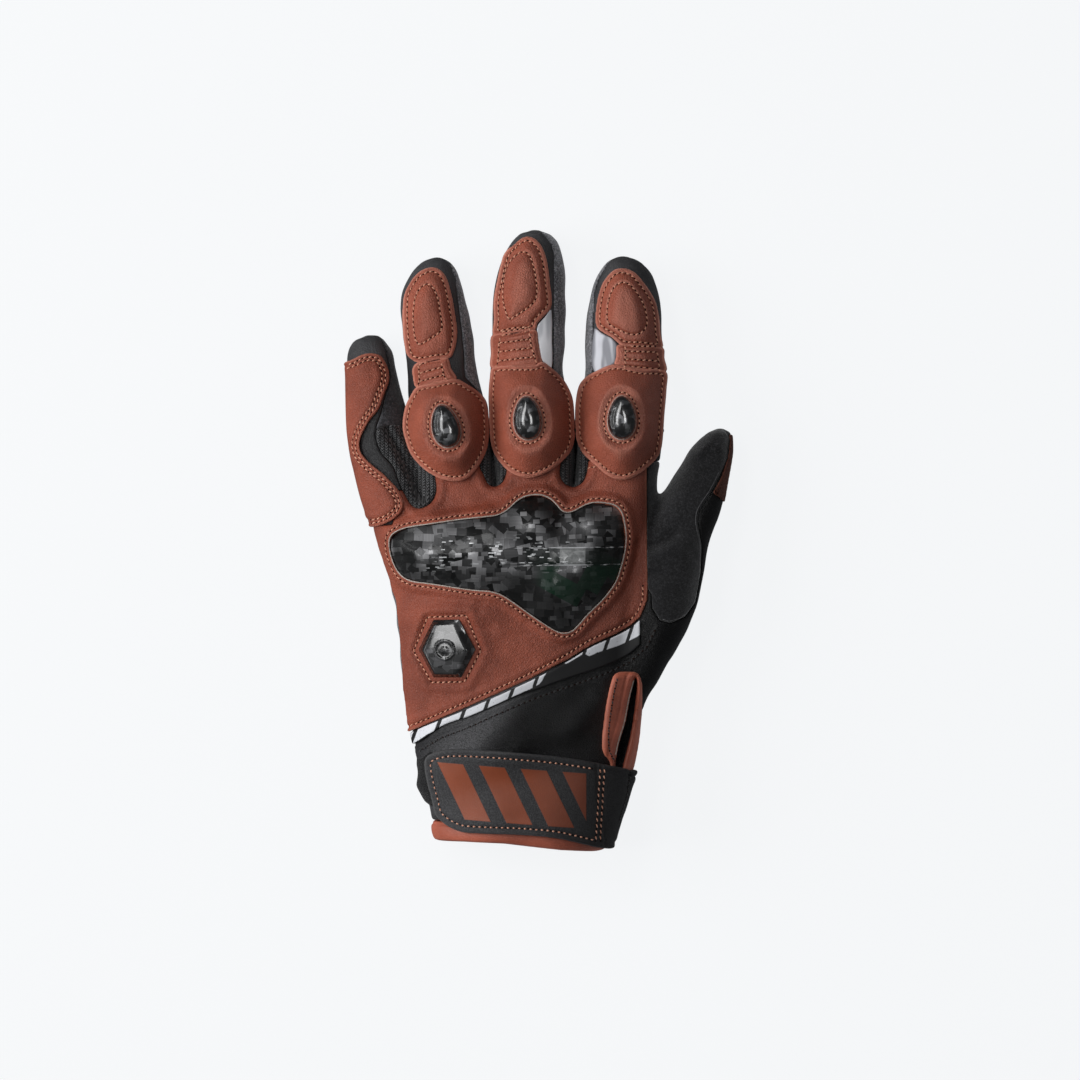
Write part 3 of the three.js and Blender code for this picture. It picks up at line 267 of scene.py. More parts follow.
FINGER_AREAS = {
    "pinky": [(-90, 6), (-57.5, 6), (-55.2, 19.4), (-49, 19.4), (-43, 17), (-41.6, 20), (-45, 31),
              (-52, 56), (-55.2, 70), (-57, 130), (-90, 130)],
    "ring": [(-45, 31), (-18.2, 31), (-21, 55), (-23.5, 130), (-57, 130), (-55.2, 70), (-52, 56)],
    "middle": [(-18.2, 31), (13.2, 31), (13.7, 130), (-23.5, 130), (-21, 55)],
    "index": [(13.2, 31), (50.2, 31), (51.4, 60), (55, 130), (13.7, 130)],
}
THUMB_AREA = [(51.8, 60), (50.6, 31), (47.4, 22), (43.4, 18), (43, -26), (46, -60), (110, -60),
              (110, 60)]
LEATHER_SIDES = {
    "pinky": [(-62.5, 85), (-62.5, 79), (-60.5, 74.3), (-59.1, 69), (-59, 64.2), (-59.9, 58.6),
              (-62, 49.7), (-64, 44), (-58, 30), (-49, 12), (-49, 0), (-95, 0), (-95, 85)],
    "ring": [(-36.5, 115), (-35.1, 106.7), (-33.3, 102.3), (-32.2, 93.3), (-30.8, 82.5),
             (-30, 75.3), (-29.4, 64), (-24, 58), (-22, 50), (-21.4, 15), (-70, 15), (-70, 115)],
    "middle": [(-2, 125), (0.8, 119.9), (4.3, 115.6), (5.3, 110.8), (5.2, 96.9), (5, 79.5),
               (4.7, 66.9), (11, 60), (12, 50), (11, 15), (-40, 15), (-40, 125)],
    "index": [(29, 115), (25.8, 107.1), (22.8, 102), (21.2, 96.9), (20.8, 89.9), (20.6, 66),
              (17, 61), (15.6, 50), (15.6, 15), (70, 15), (70, 115)],
}
STUDS = {"ring": (-36.9, 44.4, 14), "middle": (-5.1, 47.5, 4), "index": (31.5, 47.7, 0)}
STUD_LENGTH, STUD_WIDTH, STUD_TAPER = 16.6, 10.4, 0.16
PADDED_FINGERS = ("ring", "middle", "index")
CAP_CENTRE = (-36.4, -42.0)
# Where the guard's two creases run, on the glove's middle line.
GUARD_CREASES = (-2.9, -9.6)

# Where the side rows of the flex strips end, and the rows of stitches across them.
STRIP_FEET = {
    "ring": ((-48.2, 59.0), (-36.0, 62.0)), "middle": ((-17.4, 66.6), (-1.4, 68.4)),
    "index": ((32.2, 66.4), (46.6, 64.8)),
}
STRIP_ROWS = {
    "ring": [((-47.6, 68.3), (-38.9, 71.0)), ((-47.2, 65.1), (-38.2, 67.5)),
             ((-47.2, 61.9), (-37.8, 64.4))],
    "middle": [((-15.2, 81.2), (-4.3, 83.0)), ((-15.2, 79.8), (-4.3, 81.5)),
               ((-16.2, 76.9), (-4.1, 78.4)), ((-16.2, 73.5), (-3.4, 75.0)),
               ((-16.6, 69.9), (-2.3, 71.5))],
    "index": [((33.0, 75.7), (45, 75.7)), ((33.0, 73.7), (45.3, 73.4)),
              ((33.0, 70.7), (46.1, 69.9)), ((33.0, 68.0), (46.2, 66.8))],
}


# Curves and distances

TINY = 1e-9
WAVES = 9  # How many waves a set of ripples adds up.


def hermite(a, b, slope_a, slope_b, t):
    """The smooth curve from a to b with the given slopes, at the share t of the way."""
    t2, t3 = t * t, t * t * t
    return (a * (2 * t3 - 3 * t2 + 1) + slope_a * (t3 - 2 * t2 + t)
            + b * (3 * t2 - 2 * t3) + slope_b * (t3 - t2))


def curve(points, step=1.2, closed=True):
    """Points a step apart on a smooth curve through the given points."""
    p = np.array(points, float)
    n = len(p)
    made = []
    for i in range(n if closed else n - 1):
        a, b = p[i], p[(i + 1) % n]
        before = p[i - 1] if closed or i > 0 else a
        after = p[(i + 2) % n] if closed or i + 2 < n else b
        length = np.linalg.norm(b - a)
        count = max(1, int(round(length / step)))
        t = (np.arange(count) / count)[:, None]
        slope_a = (b - before) / max(length + np.linalg.norm(a - before), TINY) * length
        slope_b = (after - a) / max(np.linalg.norm(after - b) + length, TINY) * length
        made.append(hermite(a, b, slope_a, slope_b, t))
    if not closed:
        made.append(p[-1:])
    return np.concatenate(made)


def inside(points, x, y):
    """How far a place lies inside an outline, negative outside it."""
    shape = np.broadcast(x, y).shape
    px = np.broadcast_to(x, shape).ravel().astype(np.float32)
    py = np.broadcast_to(y, shape).ravel().astype(np.float32)
    best = np.full(px.shape, 1e9, np.float32)
    within = np.zeros(px.shape, bool)
    points = np.asarray(points, np.float32)
    for (ax, ay), (bx, by) in zip(points, np.roll(points, -1, 0)):
        ex, ey = bx - ax, by - ay
        t = np.clip(((px - ax) * ex + (py - ay) * ey) / max(ex * ex + ey * ey, TINY), 0, 1)
        best = np.minimum(best, (px - ax - t * ex) ** 2 + (py - ay - t * ey) ** 2)
        if ay != by:
            crosses = (ay > py) != (by > py)
            within ^= crosses & (px < ex * (py - ay) / ey + ax)
    far = np.sqrt(best)
    return np.where(within, far, -far).reshape(shape)


def from_line(points, x, y):
    """Distance from an open line."""
    shape = np.broadcast(x, y).shape
    best = np.full(shape, 1e9)
    for (ax, ay), (bx, by) in zip(points[:-1], points[1:]):
        ex, ey = bx - ax, by - ay
        t = np.clip(((x - ax) * ex + (y - ay) * ey) / (ex * ex + ey * ey), 0, 1)
        best = np.minimum(best, (x - ax - t * ex) ** 2 + (y - ay - t * ey) ** 2)
    return np.sqrt(best)


def hump(v, at, width):
    """A soft bump of height 1 where v is near at."""
    return np.exp(-((v - at) / width) ** 2)


def ramp(low, high, v):
    """A smooth step from 0 to 1 as v goes from low to high."""
    t = np.clip((v - low) / (high - low), 0, 1)
    return t * t * (3 - 2 * t)


def soften(relief, g, radius):
    """Relief seen from above, blurred over a radius."""
    a = np.broadcast_to(relief, (g.x.size, g.y.size, 1))[:, :, 0]
    reach = int(3 * radius / g.pitch)
    weights = np.exp(-0.5 * (np.arange(-reach, reach + 1) * g.pitch / radius) ** 2)
    weights /= weights.sum()
    for axis in (0, 1):
        wide = np.pad(a, [(reach, reach) if axis == k else (0, 0) for k in (0, 1)], "edge")
        size = a.shape[axis]
        a = sum(w * wide.take(range(k, k + size), axis) for k, w in enumerate(weights))
    return a[:, :, None]


def smooth_max(a, b, k):
    """The larger of two values, with the change from one to the other rounded over k."""
    h = np.clip(0.5 + 0.5 * (a - b) / k, 0, 1)
    return b + (a - b) * h + k * h * (1 - h)


def smooth_min(a, b, k):
    return -smooth_max(-a, -b, k)


def ridges(lines, x, y):
    """Folds and valleys along straight lines."""
    total = 0
    for x1, y1, x2, y2, width, rise in lines:
        total = total + rise * np.exp(-(from_line([(x1, y1), (x2, y2)], x, y) / width) ** 2)
    return total


def ripples(x, y, size, seed):
    """Soft unevenness, mostly less than 1 high, of waves about a size long."""
    rng = np.random.default_rng(seed)
    total = 0
    for _ in range(WAVES):
        angle, phase = rng.uniform(0, 2 * math.pi), rng.uniform(0, 2 * math.pi)
        k = 2 * math.pi / size * rng.uniform(0.7, 1.5)
        total = total + np.sin(k * (x * math.cos(angle) + y * math.sin(angle)) + phase)
    return total / math.sqrt(WAVES)


def lowest(*fields):
    """What several regions have in common."""
    return np.minimum.reduce(np.broadcast_arrays(*fields))


def level_on(line, x):
    """The y of a line of corners at each x."""
    xs, ys = zip(*sorted(line))
    return np.interp(x, xs, ys)


# The hand's surface as a distance field

class Grid:
    """Points of a box in space, a pitch apart."""

    def __init__(self, low, high, pitch, margin):
        self.pitch = pitch
        self.low = np.array(low, float) - margin
        count = np.ceil((np.array(high, float) + margin - self.low) / pitch).astype(int) + 1
        axes = [self.low[i] + pitch * np.arange(count[i]) for i in range(3)]
        self.x = axes[0][:, None, None]
        self.y = axes[1][None, :, None]
        self.z = axes[2][None, None, :]
        self.high = np.array([a[-1] for a in axes])


REACH = 9  # A body that is further away than this doesn't touch a grid.
LEAST_SLOPE = 0.008


def rows_at(table, y):
    """Section values at each y, on smooth curves through the table's rows."""
    rows = np.array(table, float)
    ys = rows[:, 0]
    i = np.clip(np.searchsorted(ys, y, side="right") - 1, 0, len(ys) - 2)
    before, a = rows[np.maximum(i - 1, 0)], rows[i]
    b, after = rows[i + 1], rows[np.minimum(i + 2, len(ys) - 1)]
    span = b[..., :1] - a[..., :1]
    t = np.clip((y[..., None] - a[..., :1]) / span, 0, 1)
    slope_a = (b - before) / (b[..., :1] - before[..., :1]) * span
    slope_b = (after - a) / (after[..., :1] - a[..., :1]) * span
    row = hermite(a, b, slope_a, slope_b, t)
    return [row[..., k] for k in range(1, 5)]


def tube(table, g, folds=0):
    """Distance from a body lofted through a section table. folds is a relief of its top."""
    left, right, bottom, top = rows_at(table, g.y)
    centre, half = (left + right) / 2, (right - left) / 2
    mid = bottom + MID_HEIGHT * (top - bottom)
    above = g.z > mid
    across = np.abs(g.x - centre) / half
    up = (g.z - mid) / (top - mid)
    up = np.maximum(up - folds / (top - mid) * np.clip(up, 0, 1), 0)
    down = np.maximum(mid - g.z, 0) / (mid - bottom)
    q = np.where(
        above,
        (across ** TOP_POWER + up ** TOP_POWER) ** (1 / TOP_POWER),
        (across ** UNDER_POWER + down ** UNDER_POWER) ** (1 / UNDER_POWER),
    )
    steep = np.sqrt(sum(slope * slope for slope in np.gradient(q, g.pitch)))
    distance = (q - 1) / np.maximum(steep, LEAST_SLOPE)
    return smooth_max(distance, g.y - table[-1][0], 2.0)


def near(table, g):
    """Whether a body lies in the grid or less than REACH beside it."""
    rows = np.array(table)
    low = (rows[:, 1].min() - REACH, rows[0, 0] - REACH)
    high = (rows[:, 2].max() + REACH, rows[-1, 0] + REACH)
    return (low[0] < g.high[0] and g.low[0] < high[0]
            and low[1] < g.high[1] and g.low[1] < high[1])


def hand(g):
    """Distance from the outside of the hollow hand."""
    body = None
    if near(PALM, g):
        folds = ridges(FOLDS, g.x, g.y) + ridges(CREASES, g.x, g.y)
        body = tube(PALM, g, folds)
    fingers = None
    for table in FINGERS.values():
        if near(table, g):
            finger = np.maximum(tube(table, g), table[0][0] - g.y)
            fingers = finger if fingers is None else smooth_min(fingers, finger, 1.0)
    if fingers is not None:
        body = fingers if body is None else smooth_min(body, fingers, 4.0)
    if near(THUMB, g):
        thumb = np.maximum(tube(THUMB, g), THUMB[0][0] - g.y)
        body = thumb if body is None else smooth_min(body, thumb, 4.0)
    return body


def top_height(table, x, y):
    """Height of the top of a finger or the palm, level past its shoulders."""
    shape = np.broadcast(x, y).shape
    x, y = np.broadcast_to(x, shape), np.broadcast_to(y, shape)
    left, right, bottom, top = rows_at(table, np.clip(y, table[0][0], table[-1][0]))
    mid = bottom + MID_HEIGHT * (top - bottom)
    across = np.abs(x - (left + right) / 2) / ((right - left) / 2)
    across = smooth_min(across, np.full(shape, 0.93), 0.12)
    return mid + (top - mid) * (1 - np.clip(across, 0, 1) ** TOP_POWER) ** (1 / TOP_POWER)


# Meshes

LONGEST_MOVE = 0.35  # How far a vertex goes in one move onto the surface, in grid steps.


def sample(field, at):
    """Values of a field at places given in grid steps."""
    top = np.array(field.shape) - 2
    i = np.clip(np.floor(at).astype(int), 0, top)
    t = at - i
    total = 0
    for dx in (0, 1):
        for dy in (0, 1):
            for dz in (0, 1):
                weight = np.abs(1 - dx - t[:, 0]) * np.abs(1 - dy - t[:, 1]) * np.abs(1 - dz - t[:, 2])
                total = total + weight * field[i[:, 0] + dx, i[:, 1] + dy, i[:, 2] + dz]
    return total


def skin(field, g):
    """Quads over the surface where a field is zero, with the field negative inside."""
    field = np.ascontiguousarray(field, np.float32).copy()
    for axis in range(3):
        for end in (0, -1):
            edge = [slice(None)] * 3
            edge[axis] = end
            field[tuple(edge)] = np.maximum(field[tuple(edge)], 0.01)
    full = field < 0
    nx, ny, nz = field.shape
    count = sum(
        full[dx:nx - 1 + dx, dy:ny - 1 + dy, dz:nz - 1 + dz].astype(np.int8)
        for dx in (0, 1) for dy in (0, 1) for dz in (0, 1)
    )
    active = (count > 0) & (count < 8)
    cells = np.argwhere(active)
    number = np.full(active.shape, -1, np.int64)
    number[active] = np.arange(len(cells))
    place, crossings = np.zeros((len(cells), 3)), np.zeros(len(cells))
    for axis in range(3):
        others = [k for k in range(3) if k != axis]
        for u in (0, 1):
            for v in (0, 1):
                start = np.zeros(3, int)
                start[others[0]], start[others[1]] = u, v
                end = start.copy()
                end[axis] = 1
                fa = field[tuple((cells + start).T)]
                fb = field[tuple((cells + end).T)]
                crossed = (fa < 0) != (fb < 0)
                t = np.where(crossed, fa / np.where(crossed, fa - fb, 1), 0)
                spot = np.tile(start.astype(float), (len(cells), 1))
                spot[:, axis] = t
                place += np.where(crossed[:, None], spot, 0)
                crossings += crossed
    at = cells + place / crossings[:, None]
    for _ in range(2):
        here = sample(field, at)
        slope = np.stack([
            sample(field, at + 0.5 * axis) - sample(field, at - 0.5 * axis) for axis in np.eye(3)
        ], 1)
        squared = np.maximum((slope ** 2).sum(1), 1e-6)
        move = -(here / squared)[:, None] * slope
        size = np.linalg.norm(move, axis=1, keepdims=True)
        at = at + move * np.minimum(1, LONGEST_MOVE / np.maximum(size, TINY))
    faces = []
    for axis in range(3):
        a, b = [full.take(range(0, n - 1), axis) if s == 0 else full.take(range(1, n), axis)
                for s, n in ((0, full.shape[axis]), (1, full.shape[axis]))]
        edges = np.argwhere(a != b)
        o1, o2 = (axis + 1) % 3, (axis + 2) % 3
        edges = edges[(edges[:, o1] > 0) & (edges[:, o2] > 0)
                      & (edges[:, o1] < full.shape[o1] - 1) & (edges[:, o2] < full.shape[o2] - 1)]
        starts = a[tuple(edges.T)]
        corners = []
        for u, v in ((-1, -1), (0, -1), (0, 0), (-1, 0)):
            cell = edges.copy()
            cell[:, o1] += u
            cell[:, o2] += v
            corners.append(number[tuple(cell.T)])
        quad = np.stack(corners, 1)
        quad[~starts] = quad[~starts][:, ::-1]
        faces.append(quad)
    return g.low + at * g.pitch, np.concatenate(faces)


PIECES = {}


def make(name, points, faces, material, nodes=(), baked=None):
    """Mesh object in metres that rides on the glove and stands for its CAD nodes."""
    mesh = bpy.data.meshes.new(name)
    mesh.vertices.add(len(points))
    mesh.vertices.foreach_set("co", (np.asarray(points) * MM).astype(np.float32).ravel())
    faces = np.asarray(faces)
    sides = faces.shape[1]
    mesh.loops.add(faces.size)
    mesh.loops.foreach_set("vertex_index", faces.astype(np.int32).ravel())
    mesh.polygons.add(len(faces))
    mesh.polygons.foreach_set("loop_start", (np.arange(len(faces)) * sides).astype(np.int32))
    mesh.update(calc_edges=True)
    mesh.validate()
    mesh.shade_smooth()
    for key, values in (baked or {}).items():
        layer = mesh.attributes.new(key, "FLOAT", "POINT")
        layer.data.foreach_set("value", np.asarray(values, np.float32))
    mesh.materials.append(material)
    piece = bpy.data.objects.new(name, mesh)
    bpy.context.scene.collection.objects.link(piece)
    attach(piece, "root")
    if nodes:
        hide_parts(*nodes)
    PIECES[name] = (piece, np.asarray(points), faces)
    return piece


def box_of(node):
    low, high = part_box(node)
    return np.array(low) / MM, np.array(high) / MM


def grid_for(node, pitch, margin=3.0):
    return Grid(*box_of(node), pitch, margin)


# Materials

class Value:
    """A number, vector or colour worked out in a material, so that its sums read as sums."""

    def __init__(self, shader, socket):
        self.shader, self.socket = shader, socket

    def __add__(self, other):
        return self.shader.math("ADD", self, other)

    def __radd__(self, other):
        return self.shader.math("ADD", other, self)

    def __sub__(self, other):
        return self.shader.math("SUBTRACT", self, other)

    def __rsub__(self, other):
        return self.shader.math("SUBTRACT", other, self)

    def __mul__(self, other):
        return self.shader.math("MULTIPLY", self, other)

    def __truediv__(self, other):
        return self.shader.math("DIVIDE", self, other)


class Shader:
    """A node material built from short calls. Its places are in millimetres."""

    def __init__(self, name, **constants):
        self.material = bpy.data.materials.new(name)
        self.material.use_nodes = True
        self.tree = self.material.node_tree
        self.tree.nodes.clear()
        output = self.tree.nodes.new("ShaderNodeOutputMaterial")
        self.principled = self.tree.nodes.new("ShaderNodeBsdfPrincipled")
        self.tree.links.new(self.principled.outputs[0], output.inputs[0])
        for key, value in constants.items():
            self.principled.inputs[key.replace("_", " ")].default_value = value
        self.place = self.scaled(self.node("ShaderNodeTexCoord", "Object"), (1 / MM, 1 / MM, 1 / MM))

    def node(self, kind, output=0, settings=None, numbered=(), **inputs):
        """A new node's output. Its inputs are given by number or by name."""
        made = self.tree.nodes.new(kind)
        for key, value in (settings or {}).items():
            setattr(made, key, value)
        for number, value in numbered:
            self.put(made.inputs[number], value)
        for key, value in inputs.items():
            self.put(made.inputs[key.replace("_", " ")], value)
        return Value(self, made.outputs[output])

    def put(self, socket, value):
        if isinstance(value, Value):
            self.tree.links.new(value.socket, socket)
        else:
            socket.default_value = value

    def math(self, operation, a, b=0.0):
        return self.node("ShaderNodeMath", 0, {"operation": operation}, enumerate((a, b)))

    def scaled(self, vector, scale):
        return self.node("ShaderNodeVectorMath", 0, {"operation": "MULTIPLY"}, enumerate((vector, scale)))

    def noise(self, scale, detail=2.0, rough=0.5, at=None):
        return self.node("ShaderNodeTexNoise", Vector=at or self.place, Scale=scale, Detail=detail,
                         Roughness=rough)

    def cells(self, scale, feature="F1"):
        return self.node("ShaderNodeTexVoronoi", 0, {"feature": feature}, Vector=self.place, Scale=scale)

    def between(self, value, low, high, to_low=0.0, to_high=1.0):
        """A smooth step from to_low to to_high, as the value goes from low to high."""
        return self.node("ShaderNodeMapRange", 0, {"interpolation_type": "SMOOTHSTEP"},
                         enumerate((value, low, high, to_low, to_high)))

    def mix(self, factor, a, b):
        return self.node("ShaderNodeMix", 2, {"data_type": "RGBA"}, ((0, factor), (6, a), (7, b)))

    def split(self, vector=None):
        parts = self.node("ShaderNodeSeparateXYZ", Vector=vector or self.place).socket.node.outputs
        return [Value(self, part) for part in parts]

    def channels(self, colour):
        parts = self.node("ShaderNodeSeparateColor", Color=colour).socket.node.outputs
        return [Value(self, part) for part in parts]

    def facing(self):
        """How far the surface faces up."""
        return self.split(self.node("ShaderNodeNewGeometry", "Normal"))[2]

    def baked(self, name):
        return self.node("ShaderNodeAttribute", "Fac", {"attribute_name": name})

    def colour(self, value):
        self.put(self.principled.inputs["Base Color"], value)

    def rough(self, value):
        self.put(self.principled.inputs["Roughness"], value)

    def bump(self, height, distance):
        normal = self.node("ShaderNodeBump", Height=height, Distance=distance * MM, Strength=1.0)
        self.put(self.principled.inputs["Normal"], normal)
        return normal


def rgb(r, g, b):
    """sRGB values from 0 to 255 as a linear colour."""
    made = [((v / 255 + 0.055) / 1.055) ** 2.4 if v > 10 else v / 255 / 12.92 for v in (r, g, b)]
    return (*made, 1.0)


def leather(name, base, dark, light, grain=1.05, depth=0.05, roughness=0.5, crown_sheen=0.0, shade=None,
            **constants):
    """Pebbled leather, paler at its cut edges. It can have painted sheen on its up-facing crowns with
    painted shade towards the thumb, and shade(s) paints light or shade on a part of it.
    """
    s = Shader(name, **constants)
    pebble = s.cells(grain, "DISTANCE_TO_EDGE")
    fine = s.cells(grain * 2.3, "DISTANCE_TO_EDGE")
    blotch = s.noise(0.06, 4, 0.55)
    speck = s.noise(1.8, 3, 0.6)
    colour = s.mix(s.between(blotch, 0.32, 0.68), base, dark)
    colour = s.mix(s.between(speck, 0.5, 0.75) * 0.35, colour, light)
    colour = s.mix(s.between(pebble, 0.09, 0.0) * 0.28, colour, dark)
    # Painted sheen where the leather faces up, and painted shade on the thumb's side, where the back turns
    # away from the light.
    if crown_sheen:
        x, y, z = s.split()
        share = s.between(s.facing(), 0.84, 0.985) * s.between(x, -48.0, 34.0, 0.5, 1.4)
        colour = s.mix(share * crown_sheen, colour, light)
        thumb_side_shade = s.between(x, 33.0, 42.0, 0.0, 0.45)
        colour = s.mix(thumb_side_shade, colour, s.mix(0.5, dark, rgb(30, 18, 14)))
    if shade:
        share, low, high = shade(s)
        share = share * s.between(pebble, 0.0, 0.12, 0.75, 1.0)
        colour = s.mix(share, colour, s.mix(s.between(speck, 0.4, 0.7), low, high))
    s.colour(s.mix(s.baked("worn"), colour, light))
    s.rough(speck * 0.16 + (roughness - 0.08))
    soft = s.between(pebble, 0.0, 0.25) + s.between(fine, 0.0, 0.3) * 0.4
    s.bump(soft + s.noise(0.55, 2) * 1.2, depth)
    return s.material


def cuff_sheen(s):
    """Painted sheen: the cuff's leather is painted grey towards the little finger's side, where the soft
    light shines off it.
    """
    x, y, z = s.split()
    across = x - y * 0.68
    share = s.between(across, 41.0, 26.0) * s.between(across, 6.0, 24.0, 0.4, 1.0)
    return share, rgb(78, 78, 80), rgb(36, 36, 38)


def fingertip_sheen(s):
    """Painted sheen and painted shade: the fingers' black leather keeps a pale base at their tips, where the
    light shines off it, and is painted darker below them.
    """
    return s.between(s.split()[1], 76.0, 60.0, 0.0, 0.9), rgb(16, 16, 17), rgb(30, 30, 32)


def suede(name, base, dark, light, nappy=1.0, strip=None):
    """Napped suede whose pieces are lit and shaded copies: their colours stand for painted light and painted
    shade above and blend into one grey underneath. Where strip is a colour, a strip beside the back panel is
    painted paler as painted light.
    """
    s = Shader(name, Sheen_Weight=0.3, Sheen_Roughness=0.55, Specular_IOR_Level=0.12)
    blotch = s.noise(0.1, 4, 0.6)
    nap = s.noise(1.0, 4, 0.75)
    fuzz = s.noise(2.2, 3, 0.75)
    x, y, z = s.split()
    under = s.between(z, 13.0, 6.0)
    base, dark = s.mix(under, base, rgb(62, 62, 66)), s.mix(under, dark, rgb(38, 38, 41))
    light = s.mix(under, light, rgb(112, 112, 116))
    colour = s.mix(s.between(blotch, 0.3, 0.7), base, dark)
    colour = s.mix(s.between(nap, 0.47, 0.64) * (0.7 * nappy), colour, light)
    colour = s.mix(s.between(fuzz, 0.52, 0.66) * (0.75 * nappy), colour, light)
    colour = s.mix(s.between(fuzz, 0.48, 0.36) * 0.8, colour, dark)
    # Painted light: a paler strip beside the back panel, on a side that faces away from the light.
    if strip:
        beside = s.between(x, 40.0, 41.0) * s.between(z, 10.0, 16.0)
        colour = s.mix(beside * 0.85, colour, s.mix(s.between(nap, 0.35, 0.65), dark, strip))
    s.colour(colour)
    s.rough(s.between(nap, 0.2, 0.8, 0.88, 1.0))
    s.bump(nap + fuzz * 0.6, 0.3)
    return s.material


def knit(name, base, light):
    """Ribs of small interlocked loops."""
    s = Shader(name, Sheen_Weight=0.2, Specular_IOR_Level=0.2)
    x, y, z = s.split()
    along = y + z * 0.8
    column = s.math("PINGPONG", x + 200.0, 0.8)
    slant = along + column * 1.2
    loop = s.math("PINGPONG", slant + 400.0, 0.5)
    height = s.between(loop, 0.1, 0.42) * s.between(column, 0.06, 0.3)
    shade = height * s.between(s.noise(0.8, 3), 0.3, 0.7, 0.3, 1.0)
    s.colour(s.mix(shade, base, light))
    s.rough(s.between(shade, 0, 1, 0.95, 0.75))
    s.bump(height, 0.3)
    return s.material


def chips(s, width, tall, angle, seed):
    """Random values and the tilt of the rectangular chips in one layer."""
    turned = s.node("ShaderNodeVectorRotate", Vector=s.place, Angle=angle)
    x, y, z = s.split(turned)
    down = y / tall
    row = s.math("FLOOR", down)
    slide = s.node("ShaderNodeTexWhiteNoise", 0, {"noise_dimensions": "1D"}, W=row + seed)
    across = x / width + slide * 5.0
    cell = s.node("ShaderNodeCombineXYZ", X=s.math("FLOOR", across), Y=row, Z=seed)
    tone, present, turn = s.channels(s.node("ShaderNodeTexWhiteNoise", 1, Vector=cell))
    tilt = ((s.math("FRACT", across) - 0.5) * (turn - 0.5) * width
            + (s.math("FRACT", down) - 0.5) * (present - 0.3) * tall)
    return tone, present, turn, tilt


def over(share, top, under):
    """The upper value where share is 1, the lower one where it is 0."""
    return (top - under) * share + under


# Layers of chips: width, height, angle, seed, share that is covered, darkest, lightest.
CHIP_LAYERS = [
    (1.6, 1.3, 0.16, 11.0, 1.1, 0.0, 0.4), (1.3, 0.95, -0.24, 23.0, 0.6, 0.0, 0.8),
    (0.95, 0.72, 0.06, 37.0, 0.42, 0.05, 1.0), (0.75, 0.6, 0.7, 53.0, 0.12, 0.0, 0.9),
    (0.62, 0.4, -0.05, 71.0, 0.16, 0.05, 1.2),
]


def carbon(name, size=4.1, shine=0.16, light=152, coat=0.45, flat=False, gain=None, paint=None):
    """Chips of carbon cloth pressed in layers under a clear coat.

    gain(s, x, y) paints highlights by making some of them paler, and paint(s, x, y, colour) recolours them.
    """
    s = Shader(name, Coat_Weight=coat, Coat_Roughness=shine, Coat_IOR=1.85 if flat else 1.6, Metallic=0.3,
               Specular_IOR_Level=0.3)
    x, y, z = s.split()
    grey = slope = 0.0
    for width, tall, angle, seed, share, low, high in CHIP_LAYERS:
        tone, present, turn, tilt = chips(s, size * width, size * tall, angle, seed)
        turned = s.math("GREATER_THAN", turn, 0.5)
        wave = over(turned, s.math("SINE", x * 11.0), s.math("SINE", y * 11.0))
        tone = low + tone * tone * (high - low)
        tone = tone * (1.0 + wave * 0.22)
        there = s.math("LESS_THAN", present, share)
        grey, slope = over(there, tone, grey), over(there, tilt, slope)
    if gain:
        grey = grey * gain(s, x, y)
    grey = grey * s.between(s.facing(), 0.62, 0.85)
    colour = s.mix(grey, rgb(11, 12, 12), rgb(light, light, light + 2))
    s.colour(paint(s, x, y, colour) if paint else colour)
    s.rough(s.between(grey, 0, 1, 0.45, 0.3))
    normal = s.bump(slope, 0.16)
    if not flat:
        s.put(s.principled.inputs["Coat Normal"], normal)
    return s.material


def guard_highlights(s, x, y):
    """Painted highlights: the guard's chips are painted paler across its middle and at its upper right,
    where the light shines off it.
    """
    middle = s.between(y, -16.0, -7.0) * s.between(y, 14.0, 5.0)
    left = middle * s.between(x, 9.0, -3.0) * s.between(x, -44.0, -18.0, 0.75, 1.2)
    right = middle * s.between(x, 5.0, 9.0) * s.between(x, 22.0, 17.0)
    upper = s.between(x, 8.0, 14.0) * s.between(y, -1.0, 4.0)
    share = left * 0.62 + right + upper * 0.45
    return (share + 0.26) * s.between(s.noise(0.07, 1), 0.36, 0.6, 0.6, 1.45)


